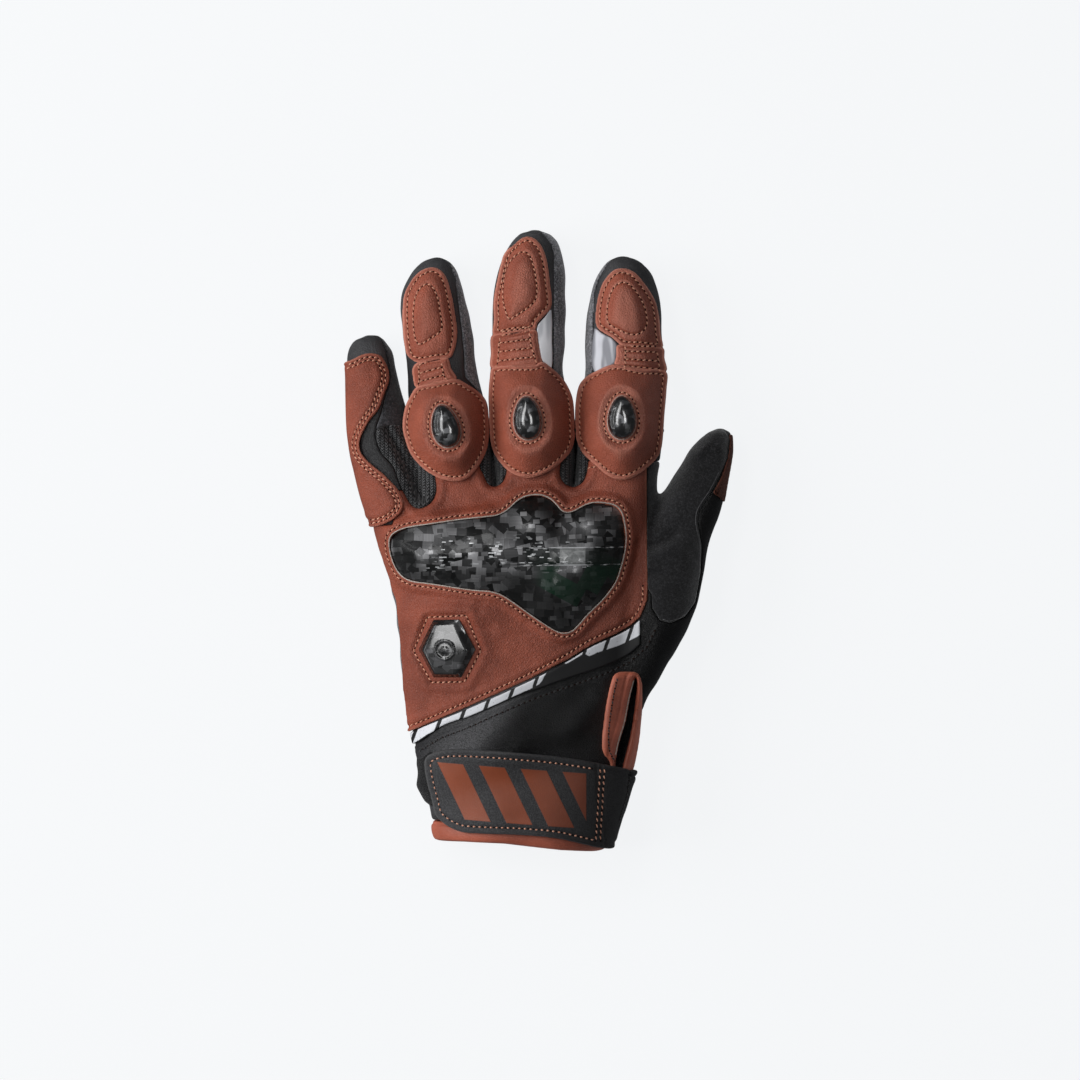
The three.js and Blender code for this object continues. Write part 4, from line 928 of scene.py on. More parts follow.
def band_and_glints(s, x, y, colour):
    """Green-black chips low down, a dark band with a pale square painted as a reflection of a lamp, and
    painted glints along its creases and on scattered chips.
    """
    low = s.between(x, -4.0, 4.0) * s.between(y, -3.0, -12.0)
    green = low * s.math("GREATER_THAN", chips(s, 9.0, 8.0, 0.5, 91.0)[0], 0.45)
    colour = s.mix(green * 0.75, colour, rgb(3, 45, 27))
    band = s.between(y, -9.6, -9.3) * s.between(y, -2.8, -3.1)
    beside = s.between(x, -6.0, -5.4) * s.between(x, 30.0, 22.0)
    colour = s.mix(band * beside * 0.6, colour, rgb(8, 20, 15))
    # Painted reflection: a pale square where the flat band mirrors a lamp.
    square = s.between(x, 7.3, 7.6) * s.between(x, 17.5, 17.2) * band
    pale = s.mix(s.between(s.noise(0.6, 2), 0.3, 0.7), rgb(124, 126, 126), rgb(162, 164, 164))
    colour = s.mix(square * 0.85, colour, pale)
    # Painted glints along the creases and on scattered chips.
    level = y - x * 0.01
    edge = 0.0
    for crease in GUARD_CREASES:
        edge = s.between(s.math("ABSOLUTE", level - crease), 0.32, 0.12) + edge
    patchy = s.noise(1.0, 3.0, at=s.scaled(s.place, (0.35, 1.5, 0.2)))
    bright = s.between(x, 6.0, 7.5) * s.between(x, 19.0, 17.0)
    edge = edge * s.math("MAXIMUM", s.between(patchy, 0.46, 0.6), bright) * s.between(x, -14.0, -4.0)
    glint = s.math("LESS_THAN", chips(s, 1.5, 0.42, 0.0, 97.0)[0], 0.14)
    glint = glint * s.between(y, -13.0, -10.0) * s.between(y, 3.0, -1.0)
    glint = glint * s.between(x, -48.0, -40.0) * s.between(x, 22.0, 18.0)
    glint = glint * s.between(s.noise(0.12, 1), 0.48, 0.6)
    return s.mix(s.math("MAXIMUM", edge, glint), colour, rgb(214, 216, 218))


def gloss(name):
    """Black gloss with square chips of carbon, painted paler on its crown as a painted highlight."""
    s = Shader(name, Coat_Weight=1.0, Coat_Roughness=0.09, Coat_IOR=1.85)
    flake = s.node("ShaderNodeTexVoronoi", "Color", {"distance": "CHEBYCHEV"}, Vector=s.place, Scale=0.55)
    pick = s.channels(flake)[0]
    # Painted highlight: the chips are paler where the surface faces up.
    crown_highlight = s.mix(s.between(s.facing(), 0.9, 0.99), rgb(66, 67, 69), rgb(132, 133, 136))
    s.colour(s.mix(s.between(pick, 0.4, 1.0), rgb(9, 9, 10), crown_highlight))
    s.rough(s.between(pick, 0, 1, 0.34, 0.22))
    s.bump(s.noise(0.6, 3), 0.06)
    return s.material


def thread(name, base, light):
    s = Shader(name, Sheen_Weight=0.2)
    twist = s.noise(3.5, 2)
    s.colour(s.mix(s.between(twist, 0.35, 0.65), base, light))
    s.rough(s.between(twist, 0, 1, 0.7, 0.5))
    s.bump(twist, 0.08)
    return s.material


# Dark marks laid at each needle hole as painted shade.
def hole_shade(name):
    s = Shader(name, Specular_IOR_Level=0.1)
    s.colour(s.mix(s.noise(1.5), rgb(22, 12, 9), rgb(38, 22, 17)))
    s.rough(s.between(s.noise(1.0), 0, 1, 0.8, 1.0))
    return s.material


def silver(name):
    """Reflective cloth, bright on the middle finger, and painted duller on the index finger as painted
    shade.
    """
    s = Shader(name, Metallic=0.15, Specular_IOR_Level=0.6)
    bead = s.noise(6.0, 2)
    soft = s.noise(1.0, 1.0, at=s.scaled(s.place, (0.28, 0.06, 0.1)))
    x, y, z = s.split()
    bright = s.mix(s.between(soft, 0.38, 0.64), rgb(196, 198, 204), rgb(250, 251, 255))
    shaded_silver = s.mix(s.between(soft, 0.4, 0.6), rgb(132, 133, 140), rgb(198, 199, 206))
    # Painted shade: the index finger's reflector is darker.
    s.colour(s.mix(s.between(x, 10.0, 16.0), bright, shaded_silver))
    s.rough(s.between(bead, 0.3, 0.7, 0.3, 0.45))
    s.bump(bead, 0.03)
    return s.material


def dashed(name):
    """Black tape with slanted silver dashes along it."""
    s = Shader(name)
    across = s.baked("across")
    slanted = s.baked("along") + across * 0.55
    wave = s.math("FRACT", (slanted + 401.5) / 10.4)
    dash = s.between(wave, 0.07, 0.09) * s.between(wave, 0.91, 0.89)
    dash = dash * s.between(across - s.baked("tall"), 0.15, -0.15) * s.between(s.noise(2.0, 3), 0.28, 0.34)
    cloth = s.noise(3.0, 3)
    s.colour(s.mix(dash, s.mix(cloth, rgb(12, 12, 13), rgb(24, 24, 26)), rgb(208, 210, 215)))
    s.rough(s.between(dash, 0, 1, 0.6, 0.32))
    s.bump(dash + cloth * 0.4, 0.06)
    return s.material


def strap_leather(name):
    """Dark grained leather with plain slanted bars printed on it, painted darker towards the right as
    painted shade.
    """
    s = Shader(name)
    x, y, z = s.split()
    pebble = s.cells(1.3, "DISTANCE_TO_EDGE")
    speck = s.noise(1.6, 3, 0.6)
    level = y + x * 0.075
    slanted = x + level * 0.5
    wave = s.math("FRACT", (slanted + 492.0) / 16.2)
    bar = s.between(wave, 0.14, 0.16) * s.between(wave, 0.78, 0.76)
    bar = bar * s.between(x, 17.9, 17.6) * s.between(slanted, -85.6, -85.2)
    bar = bar * s.between(level, -110.6, -110.2) * s.between(level, -88.8, -89.2)
    bar = bar * s.between(z, 30.0, 31.0) * s.between(s.noise(1.3, 5, 0.7), 0.24, 0.3)
    grey = s.mix(s.between(speck, 0.35, 0.7), rgb(40, 40, 42), rgb(66, 66, 68))
    grey = s.mix(s.between(pebble, 0.1, 0.0) * 0.4, grey, rgb(26, 26, 28))
    grey = s.mix(s.baked("worn") * 0.6, grey, rgb(88, 88, 88))
    brown = s.mix(s.noise(0.12, 3), rgb(122, 60, 36), rgb(144, 74, 48))
    # Painted shade: the strap darkens towards the right, where it curves away from the light.
    shaded = s.between(x, -14.0, 26.0) * 0.6
    s.colour(s.mix(shaded, s.mix(bar, grey, brown), s.mix(bar, rgb(20, 20, 21), rgb(84, 38, 22))))
    s.rough(s.between(bar, 0, 1, 0.62, 0.42))
    grain = s.between(pebble, 0.0, 0.25) * (0.35 + (1.0 - bar) * 0.65)
    s.bump(grain + bar * 1.2, 0.07)
    return s.material


def fuzzy(name):
    """The dark pile of loops that the strap closes on."""
    s = Shader(name, Sheen_Weight=0.1, Specular_IOR_Level=0.1)
    loops = s.cells(1.6)
    fuzz = s.noise(2.6, 4, 0.7)
    s.colour(s.mix(loops * fuzz, rgb(4, 4, 5), rgb(30, 30, 32)))
    s.rough(s.between(fuzz, 0, 1, 0.9, 1.0))
    s.bump(loops + fuzz, 0.5)
    return s.material


def plain_floor():
    s = Shader("floor", Specular_IOR_Level=0.0, Emission_Color=(0.97, 0.985, 1.0, 1),
               Emission_Strength=0.89)
    s.colour(s.mix(s.noise(0.01, 1), (0.085, 0.085, 0.085, 1), (0.09, 0.09, 0.09, 1)))
    s.rough(s.between(s.noise(0.02, 1), 0, 1, 0.7, 0.8))
    return s.material


BROWN = leather("brown_leather", rgb(144, 70, 49), rgb(122, 57, 39), rgb(186, 112, 90), depth=0.14,
                roughness=0.5, crown_sheen=0.1, Specular_IOR_Level=0.6)
# The pads' leather is painted a little paler than the back's as painted light, and has more painted sheen on
# its crowns.
PAD = leather("pad_leather", rgb(158, 79, 56), rgb(138, 67, 47), rgb(198, 126, 106), depth=0.16,
              roughness=0.52, crown_sheen=0.36, Specular_IOR_Level=0.7)
TRIM = leather("brown_trim", rgb(178, 96, 74), rgb(148, 77, 58), rgb(200, 124, 102), grain=1.3, depth=0.035,
               roughness=0.42)
PATCH = leather("thumb_leather", rgb(86, 46, 34), rgb(68, 37, 28), rgb(112, 66, 52), grain=1.3, depth=0.035,
                roughness=0.5, Specular_IOR_Level=0.3)
# The fingers' black leather has a pale grey base as painted sheen, and is painted darker below their tips.
BLACK = leather("black_leather", rgb(68, 68, 70), rgb(51, 51, 53), rgb(92, 92, 94), grain=1.2, depth=0.08,
                roughness=0.4, shade=fingertip_sheen, Specular_IOR_Level=0.55)
CUFF_BLACK = leather("cuff_leather", rgb(10, 10, 11), rgb(7, 7, 8), rgb(34, 34, 36), grain=1.2, depth=0.09,
                     roughness=0.34, shade=cuff_sheen, Specular_IOR_Level=0.4)
# The suede is one grey cloth; the finger pieces' copy is painted lighter as painted light, and the thumb's
# and little finger's copies darker as painted shade.
FINGER_SUEDE_LIT = suede("finger_suede", rgb(114, 114, 119), rgb(61, 61, 65), rgb(178, 178, 183))
THUMB_SUEDE_SHADED = suede("thumb_suede", rgb(26, 26, 28), rgb(13, 13, 14), rgb(70, 70, 73), 0.6)
PALM_SUEDE = suede("palm_suede", rgb(66, 66, 70), rgb(36, 36, 39), rgb(116, 116, 120), 0.8,
                   strip=rgb(176, 176, 180))
LITTLE_SUEDE_SHADED = suede("little_finger_suede", rgb(50, 50, 53), rgb(28, 28, 31), rgb(92, 92, 96), 0.8)
KNIT = knit("black_knit", rgb(10, 10, 11), rgb(104, 104, 106))
# The guard's carbon has painted highlights, a painted reflection and painted glints.
CARBON = carbon("forged_carbon", gain=guard_highlights, paint=band_and_glints)
HEX_CARBON = carbon("hexagon_carbon", 4.0, 0.1, 96, coat=1.0, flat=True)
GLOSS = gloss("black_gloss")
SALMON = thread("salmon_thread", rgb(182, 116, 88), rgb(230, 174, 146))
DARK_THREAD = thread("black_thread", rgb(12, 12, 12), rgb(44, 44, 45))
HOLE_SHADE = hole_shade("needle_hole_shade")
RAW = thread("raw_edge", rgb(138, 128, 120), rgb(196, 188, 180))
GREY_EDGE = thread("grey_edge", rgb(60, 60, 62), rgb(92, 92, 94))
SILVER = silver("silver_reflector")
DASHED = dashed("reflective_tape")
STRAP_LEATHER = strap_leather("strap_leather")
LOOP = fuzzy("loop_pile")


# Shared shapes of the pieces

def hemmed(d, stitch=1.75, roll=0.35, groove=0.4, puff=0.3):
    """Relief of a turned and stitched edge, by the distance inside it."""
    return roll * hump(d, 0.75, 0.6) - groove * hump(d, stitch, 0.5) + puff * hump(d, stitch + 1.7, 1.3)


def worn_edge(points, outlines):
    """How much lighter the cut edges are."""
    total = np.zeros(len(points))
    for outline in outlines:
        total = np.maximum(total, hump(inside(outline, points[:, 0], points[:, 1]), 0, 0.5))
    return total


def half_round(v):
    """A half circle over v from -1 to 1."""
    return np.sqrt(np.clip(1 - v ** 2, 0, 1))


def quarter_round(v):
    """A quarter circle that rises over v from 0 to 1 and stays at 1."""
    return half_round(1 - np.clip(v, 0, 1))


def above_hem(g):
    return g.y - level_on(HEM_SEAM, g.x)


def side_seam(g):
    """Height of the seam along the side of the hand, which runs up on the little finger's side."""
    return SIDE_SEAM + 8.0 * ramp(-46, -50, g.x) * ramp(-14, -24, g.y) * ramp(-79, -72, g.y)


EDGES = {name: curve(points) for name, points in {**OUTLINES, **GUSSETS}.items()}


def egg(stud, grow=0.0, count=48):
    """The egg-shaped outline of a knuckle's stud."""
    x, y, turn = STUDS[stud]
    a = 2 * math.pi * np.arange(count) / count
    along = (STUD_LENGTH / 2 + grow) * np.sin(a)
    across = (STUD_WIDTH / 2 + grow) * np.cos(a) * (1 - STUD_TAPER * np.sin(a))
    c, s = math.cos(math.radians(turn)), math.sin(math.radians(turn))
    return np.stack([x + across * c - along * s, y + across * s + along * c], 1)


def wall_piece(name, pitch, region, material, relief, edges=(), soft=1.1, margin=3.0):
    """A panel of the wall: the part of it where region(g) is above zero, raised by relief(g)."""
    g = grid_for(name, pitch, margin)
    body = hand(g)
    lift = relief(g)
    outside = smooth_max(body - lift, -g.z, 2.2)
    hollow = -np.maximum(body + WALL - np.minimum(lift, 0), WALL - g.z)
    field = smooth_max(outside, -0.05 - region(g), soft)
    points, faces = skin(np.maximum(field, hollow), g)
    make(name, points, faces, material, [name], {"worn": worn_edge(points, edges)})


def layer_piece(name, outline, rise, material, pitch, low=SIDE_SEAM - 4, under=lambda g: 0.15,
                soft=1.0, cut=None, bake=None):
    """A piece laid on the hand: rise(d, g) is its height above it, d the distance inside its edge."""
    g = grid_for(name, pitch)
    body = hand(g)
    d = inside(outline, g.x, g.y)
    field = smooth_max(body - rise(d, g), -d, soft)
    field = np.maximum(field, under(g) - body)
    field = smooth_max(field, low - g.z, soft)
    if cut:
        field = smooth_max(field, cut(g), soft)
    points, faces = skin(field, g)
    baked = {"worn": worn_edge(points, [outline]), **(bake(points) if bake else {})}
    make(name, points, faces, material, [name], baked)


# Suede, finger leather, knit

def areas_union(g):
    """How far a place lies inside the fingers' areas."""
    return np.max([inside(p, g.x, g.y) for p in FINGER_AREAS.values()], axis=0)


def gussets_union(g):
    """How far a place lies inside the gussets' outlines."""
    return np.max([inside(EDGES[n], g.x, g.y) for n in GUSSETS], axis=0)


def palm_region(g):
    return lowest(side_seam(g) - g.z, above_hem(g), -areas_union(g), -inside(THUMB_AREA, g.x, g.y))


def palm_relief(g):
    return 0.35 * ripples(g.x, g.y, 34, 3) * ramp(4, 0, g.z) + 0.3 * ripples(g.x, g.y, 16, 4)


wall_piece("palm_suede", 1.0, palm_region, PALM_SUEDE, palm_relief, soft=0.6,
           margin=12.0)

for finger in FINGERS:
    little = finger == "pinky"

    def leather_region(g, finger=finger):
        leather = inside(LEATHER_SIDES[finger], g.x, g.y)
        return lowest(inside(FINGER_AREAS[finger], g.x, g.y), leather, g.z - SIDE_SEAM, -gussets_union(g))

    def suede_region(g, finger=finger):
        leather = inside(LEATHER_SIDES[finger], g.x, g.y)
        top = np.minimum(np.maximum(leather, gussets_union(g)), g.z - SIDE_SEAM)
        return np.minimum(inside(FINGER_AREAS[finger], g.x, g.y), -top)

    def leather_relief(g, little=little):
        return 0.7 * ramp(60, 70, g.y) if little else 0.25 * ramp(80, 100, g.y)

    def suede_relief(g, little=little, seed=len(finger)):
        return 0.5 * little * ramp(60, 72, g.y) + 0.1 * ripples(g.x, g.y, 13, seed)

    wall_piece(finger + "_suede", 0.7, suede_region, LITTLE_SUEDE_SHADED if little else FINGER_SUEDE_LIT,
               suede_relief, soft=0.5)
    wall_piece(finger + "_back", 0.6, leather_region, BLACK, leather_relief)


def suede_edge(g):
    """The strip of suede between the back panel and the thumb."""
    return np.minimum(inside(SUEDE_EDGE, g.x, g.y), g.z - SIDE_SEAM)


def thumb_region(g):
    top = np.maximum(inside(THUMB_SUEDE, g.x, g.y), SIDE_SEAM - g.z)
    return np.maximum(np.minimum(inside(THUMB_AREA, g.x, g.y), top), suede_edge(g))


THUMB_CREASES = [
    (44, -2, 53, 3, 2.6, -1.1), (44, -7, 56, -2, 3.2, 1.0), (43.5, -12, 51, -13, 2.6, -1.0),
    (60, -6, 56, -1, 1.6, -0.5), (53, -5, 46, -11, 3.0, -0.5), (48, -18, 58, -24, 4.0, 0.6),
    (50, 14, 60, 24, 5.0, 0.6), (62, 34, 66, 38, 2.0, 0.6), (70, 36, 71, 40, 1.6, 0.6),
]


def thumb_relief(g):
    return ridges(THUMB_CREASES, g.x, g.y) * ramp(14, 20, g.z) + 0.15 * ripples(g.x, g.y, 15, 8)


wall_piece("thumb_suede", 0.8, thumb_region, THUMB_SUEDE_SHADED, thumb_relief, soft=0.6)

for name in GUSSETS:
    def gusset_region(g, name=name):
        return np.minimum(inside(EDGES[name], g.x, g.y), g.z - SIDE_SEAM)

    def gusset_relief(g, name=name):
        away = from_line(GUSSET_VALLEYS[name], g.x, g.y)
        return -1.6 * hump(away, 0, 1.3) + 0.5 * hump(away, 3.0, 1.4)

    wall_piece(name, 0.5, gusset_region, KNIT, gusset_relief)


# Back of the hand and cuff

def back_region(g):
    return lowest(g.z - side_seam(g), inside(BACK_PANEL, g.x, g.y), above_hem(g), -areas_union(g),
                  -gussets_union(g), -inside(THUMB_AREA, g.x, g.y))


def back_relief(g):
    from_guard = -inside(EDGES["guard"], g.x, g.y)
    from_hexagon = -inside(HEXAGON_SEAM, g.x, g.y)
    from_lower = from_line(LOWER_EDGE, g.x, g.y)
    flange = (1.7 * ramp(5.5, 2.2, from_guard) * ramp(-0.35, 0.15, from_guard)
              - 0.45 * hump(from_guard, 1.75, 0.55) - 0.6 * ramp(0.2, -0.4, from_guard))
    seat = (-0.5 * hump(from_hexagon, 0, 0.7) + 0.7 * hump(from_hexagon, 2.4, 1.8)
            + 0.5 * ramp(1, -1, from_hexagon))
    webs = 0.7 * hump(-gussets_union(g), 2.0, 1.6)
    corner = 1.2 * ramp(-42, -51, g.x) * (ramp(-18, -36, g.y) + 0.8 * ramp(-60, -72, g.y))
    return (flange + seat + webs + hemmed(from_lower) + 0.2 * ripples(g.x, g.y, 30, 11)
            + 0.06 * ripples(g.x, g.y, 9, 12) + corner)


wall_piece("back_panel", 0.6, back_region, BROWN, back_relief,
           [EDGES["guard"], np.array(BACK_PANEL)], soft=0.9)

CUFF_SEAM = [
    (-47.5, -80.4), (-39, -75), (-27.2, -70.4), (-19, -66.6), (-8, -61.8), (0, -58.6), (12, -54.4),
    (24, -50.4), (34.6, -45.6), (41.4, -39.4), (44.6, -33),
]
CUFF_FOLDS = [
    (-36, -92, -12, -69, 8.0, 1.4), (-10, -84, 14, -79, 6.0, -0.7), (6, -70, 16, -60, 5.0, -0.9),
    (44, -46, 56, -32, 6.0, -0.6), (-40, -84, -24, -80, 4.0, 0.3),
]


def cuff_region(g):
    return lowest(g.z - SIDE_SEAM, above_hem(g), -inside(BACK_PANEL, g.x, g.y), -areas_union(g),
                  -inside(THUMB_SUEDE, g.x, g.y), -suede_edge(g), -inside(EDGES["slit"], g.x, g.y))


def cuff_relief(g):
    from_seam = from_line(CUFF_SEAM, g.x, g.y)
    edge = 0.9 * ramp(0.0, 0.7, from_seam) - 0.4 * hump(from_seam, 1.7, 0.5)
    edge = edge * (g.y < level_on(CUFF_SEAM, g.x)) * ramp(50, 44, g.x)
    return edge + ridges(CUFF_FOLDS, g.x, g.y) + 0.08 * ripples(g.x, g.y, 22, 21)


wall_piece("cuff_panel", 0.7, cuff_region, CUFF_BLACK, cuff_relief)


# Layers laid on the hand

def over_binding(g):
    return 0.5 + 2.0 * ramp(19, 22, g.x)


def strap_rise(d, g):
    end = sum(hump(g.x + 0.05 * (g.y + 100), x, 0.5) for x in (22.4, 24.2))
    fold = hump(g.x - 0.14 * (g.y + 100), 33.4, 0.6)
    return (4.7 - 1.5 * ramp(28, 36, g.x) + hemmed(d, 2.5, 0.25, 0.35, 0.2) - 0.5 * end - 0.35 * fold
            + 0.15 * ripples(g.x, g.y, 26, 31))


layer_piece("wrist_strap", EDGES["strap"], strap_rise, STRAP_LEATHER, 0.55, low=4.0,
            under=over_binding, soft=1.2)


# The middle line of the reflective band, and how tall its marks are at each x.
BAND_LINE = np.array([(-52, -76.6), (-27.6, -66.2), (-4.5, -55.8), (20, -43), (38.8, -33)])
BAND_MARKS = [(-50, 5), (-44, 3.6), (0, 3.5), (3, 0), (8.5, 0), (10, 1.3), (17, 1.4), (19, 3.4), (30, 4.6),
              (38, 5)]


def lengths_along(points):
    """How far each corner of a line lies from its start."""
    return np.concatenate([[0], np.cumsum(np.linalg.norm(np.diff(points, axis=0), axis=1))])


def band_places(points):
    x, y = points[:, 0], points[:, 1]
    return {"along": np.interp(x, BAND_LINE[:, 0], lengths_along(BAND_LINE)),
            "across": from_line(LOWER_EDGE, x, y), "tall": level_on(BAND_MARKS, x)}


layer_piece("reflective_band", EDGES["band"], lambda d, g: 1.15, DASHED, 0.4, soft=0.4,
            bake=band_places)


def loop_rise(d, g):
    return 0.8 + 1.0 * ramp(0.0, 4.0, d) + 2.5 * hump(g.y, -98.3, 5.2) + 0.1 * ripples(g.x, g.y, 9, 41)


layer_piece("loop_patch", LOOP_PATCH, loop_rise, LOOP, 0.5, low=5.0)


def binding_rise(d, g):
    slit = 0.4 - inside(EDGES["slit"], g.x, g.y)
    return 0.5 + 2.3 * quarter_round(np.minimum(d, slit) / 2.6) - 0.35 * hump(slit, 3.4, 0.5)


layer_piece("slit_binding", EDGES["slit_binding"], binding_rise, TRIM, 0.45,
            soft=0.7, cut=lambda g: np.maximum(inside(EDGES["slit"], g.x, g.y) - 0.35, -above_hem(g)))


def panel_rise(d, g):
    return 1.5 + hemmed(d, 1.5, 0.2, 0.35, 0.0) + hemmed(d - 1.3, 1.5, 0.0, 0.35, 0.3)


layer_piece("pinky_panel", EDGES["pinky_panel"], panel_rise, BROWN, 0.45)
layer_piece("thumb_patch", THUMB_PATCH, lambda d, g: 0.7, PATCH, 0.45, low=5.0)
for name in ("middle_reflector", "index_reflector"):
    layer_piece(name, EDGES[name], lambda d, g: 1.0, SILVER, 0.35, soft=0.5)


def hem():
    """Rolled binding round the cuff's mouth."""
    g = grid_for("hem_binding", 0.5)
    body = hand(g)
    seam, rim = level_on(HEM_SEAM, g.x) - GAP, level_on(RIM, g.x)
    place = (g.y - rim) / (seam - rim)
    roll = 1.8 * half_round(2 * place - 1) - 0.5 * hump(place, 0.86, 0.06)
    outside = smooth_max(body - roll, -g.z, 1.0)
    field = smooth_max(outside, np.maximum(rim - g.y, g.y - seam), 0.8)
    field = smooth_max(field, -np.maximum(body + WALL, WALL - g.z), 0.8)
    points, faces = skin(field, g)
    unworn = {"worn": np.zeros(len(points))}
    make("hem_binding", points, faces, TRIM, ["hem_binding"], unworn)


hem()


# Crowned pads and strips

def pad_piece(name, outline, table, height, edges, grow=0.3):
    """A stuffed pad: height(d, g) is how far its top stands off the finger's top."""
    g = grid_for(name, 0.4)
    base = top_height(table, g.x, g.y)
    d = inside(outline, g.x, g.y)
    field = smooth_max(g.z - base - height(d, g), -d - grow, 1.1)
    field = smooth_max(field, GAP / 2 - hand(g), 0.9)
    bottom, top = rows_at(table, np.clip(g.y, table[0][0], table[-1][0]))[2:]
    middle = bottom + MID_HEIGHT * (top - bottom)
    field = smooth_max(field, middle + 0.4 * (top - middle) - g.z, 0.5)
    points, faces = skin(field, g)
    piece = make(name, points, faces, PAD, [name], {"worn": worn_edge(points, edges)})


for finger in PADDED_FINGERS:
    pad_edge = EDGES[finger + "_pad"]
    stud_edge = egg(finger)

    def pad_height(d, g, stud_edge=stud_edge):
        from_stud = -inside(stud_edge, g.x, g.y)
        climb = np.maximum(d - 2.0, 0)
        share = climb / (climb + np.maximum(from_stud - 2.6, 0) + 0.3)
        crown = 6.0 * (1 - (1 - share) ** 2.0)
        ring = -1.1 * ramp(4.4, 1.8, from_stud) + 0.2 * hump(from_stud, 4.8, 1.5)
        seams = 0.2 * hump(d, 0.7, 0.5) - 0.45 * hump(d, 1.6, 0.5) - 0.3 * hump(from_stud, 1.6, 0.45)
        return (soften(2.2 + crown, g, 1.4) + soften(ring, g, 0.6) + seams
                + 0.08 * ripples(g.x, g.y, 8, 51))

    pad_piece(finger + "_knuckle_pad", pad_edge, FINGERS[finger], pad_height, [pad_edge, stud_edge])

    tip_edge, almond = EDGES[finger + "_tip"], EDGES[finger + "_almond"]

    def tip_height(d, g, almond=almond):
        within = inside(almond, g.x, g.y)
        body = 1.3 + 1.3 * ramp(2.0, 4.0, d) + 1.1 * (1 - (1 - ramp(0.0, 5.0, within)) ** 2)
        return (soften(body, g, 0.9) + 0.2 * hump(d, 0.7, 0.5) - 0.4 * hump(d, 1.75, 0.5)
                - 0.5 * hump(within, 0, 0.6) + 0.08 * ripples(g.x, g.y, 9, 52))

    pad_piece(finger + "_tip_pad", tip_edge, FINGERS[finger], tip_height, [tip_edge])

    strip_edge = EDGES[finger + "_strip"]

    def strip_height(d, g, rows=STRIP_ROWS[finger]):
        valley = sum(hump(from_line(row, g.x, g.y), 0, 0.55) for row in rows)
        return 1.4 + 0.5 * ramp(0, 1.6, d) - 0.6 * np.minimum(valley, 1)

    pad_piece(finger + "_flex_strip", strip_edge, FINGERS[finger], strip_height, [strip_edge], grow=0.5)


# Hard parts

def guard():
    """Moulded guard: a band across the middle, facets falling away on both sides."""
    g = grid_for("knuckle_guard", 0.5)
    base = top_height(PALM, g.x, g.y) + ridges(FOLDS, g.x, g.y)
    d = inside(EDGES["guard"], g.x, g.y)
    rise = soften(1.0 + 1.2 * ramp(0.0, 2.4, d) + 5.6 * (1 - (1 - ramp(0, 17, d)) ** 1.8), g, 1.6)
    rise = rise + 0.2 * ripples(g.x, g.y, 14, 61)
    upper, lower = (crease + 0.01 * g.x for crease in GUARD_CREASES)
    inner = ramp(-22, -8, g.x) * ramp(1.0, 4.0, d)
    crease = -0.3 * (hump(g.y, upper, 0.4) + hump(g.y, lower, 0.4)) * inner
    band = 0.55 * ramp(upper + 0.5, upper - 0.5, g.y) * ramp(lower - 0.5, lower + 0.5, g.y) * inner
    dish = soften(-0.9 * hump(g.y, upper + 6.0, 3.4) * ramp(-20, -4, g.x), g, 1.0)
    field = smooth_max(g.z - base - rise - crease - band - dish, -d - 0.25, 0.5)
    points, faces = skin(np.maximum(field, base - 3.0 - g.z), g)
    make("knuckle_guard", points, faces, CARBON, ["knuckle_guard"])


guard()


def studs():
    """Glossy domes on the knuckle pads."""
    for finger in PADDED_FINGERS:
        name = finger + "_knuckle_stud"
        g = grid_for(name, 0.3, 2.0)
        d = inside(egg(finger, 0.25), g.x, g.y)
        low, high = box_of(name)
        dome = low[2] + 0.9 + (high[2] - low[2] - 0.9) * quarter_round(d / 5.4)
        field = smooth_max(g.z - dome, -d, 0.5)
        points, faces = skin(np.maximum(field, low[2] - g.z), g)
        make(name, points, faces, GLOSS, [name])


studs()


def hexagon():
    """Cap with a face that leans to the left and towards the wrist, and a plain raised ring."""
    g = grid_for("hexagon_cap", 0.3)
    base = top_height(PALM, *CAP_CENTRE) + ridges(FOLDS, *CAP_CENTRE)
    outer = np.array(HEXAGON)
    centre = outer.mean(0)
    inner = centre + (outer - centre) * (0.79, 0.87) + (-0.9, -0.4)
    d, within = inside(outer, g.x, g.y), inside(inner, g.x, g.y)
    face = 3.8 + 0.215 * (g.x - centre[0]) + 0.022 * (g.y - centre[1])
    foot = top_height(PALM, g.x, g.y) + ridges(FOLDS, g.x, g.y) - base + 1.0
    dome = 0.22 * (1 - ((g.x - centre[0]) ** 2 + (g.y - centre[1]) ** 2) / 9 ** 2)
    climb = np.maximum(d, 0)
    share = climb / (climb + np.maximum(-within, 0) + 0.05)
    away = np.hypot(g.x - inner.mean(0)[0], g.y - inner.mean(0)[1])
    ring = 0.35 * ramp(0.5, 0.25, np.abs(away - 3.6)) + 0.3 * ramp(1.5, 1.1, away)
    height = soften(foot + share * (face - foot) + dome, g, 0.3) + ring
    field = smooth_max(g.z - base - height, -d - 0.2, 0.3)
    points, faces = skin(np.maximum(field, base + foot - 3.0 - g.z), g)
    make("hexagon_cap", points, faces, HEX_CARBON, ["hexagon_cap"])


hexagon()


# Stitches

TREES = {}
ABOVE_ALL = 90.0
CORNERS = 6  # Of the section of a thread.


def drop(name, x, y):
    """The place on top of a piece under a point seen from above, and the surface's normal there."""
    if name not in TREES:
        points, faces = PIECES[name][1:]
        TREES[name] = BVHTree.FromPolygons(points.tolist(), faces.tolist())
    hit = TREES[name].ray_cast(Vector((x, y, ABOVE_ALL)), Vector((0, 0, -1)))
    return None if hit[0] is None else (np.array(hit[0]), np.array(hit[1]))


def unit(vector):
    return vector / max(np.linalg.norm(vector), TINY)


def opened(line):
    """A closed line as an open one that starts after its widest gap."""
    gaps = np.linalg.norm(np.roll(line, -1, 0) - line, axis=1)
    return np.roll(line, -(np.argmax(gaps) + 1), 0)


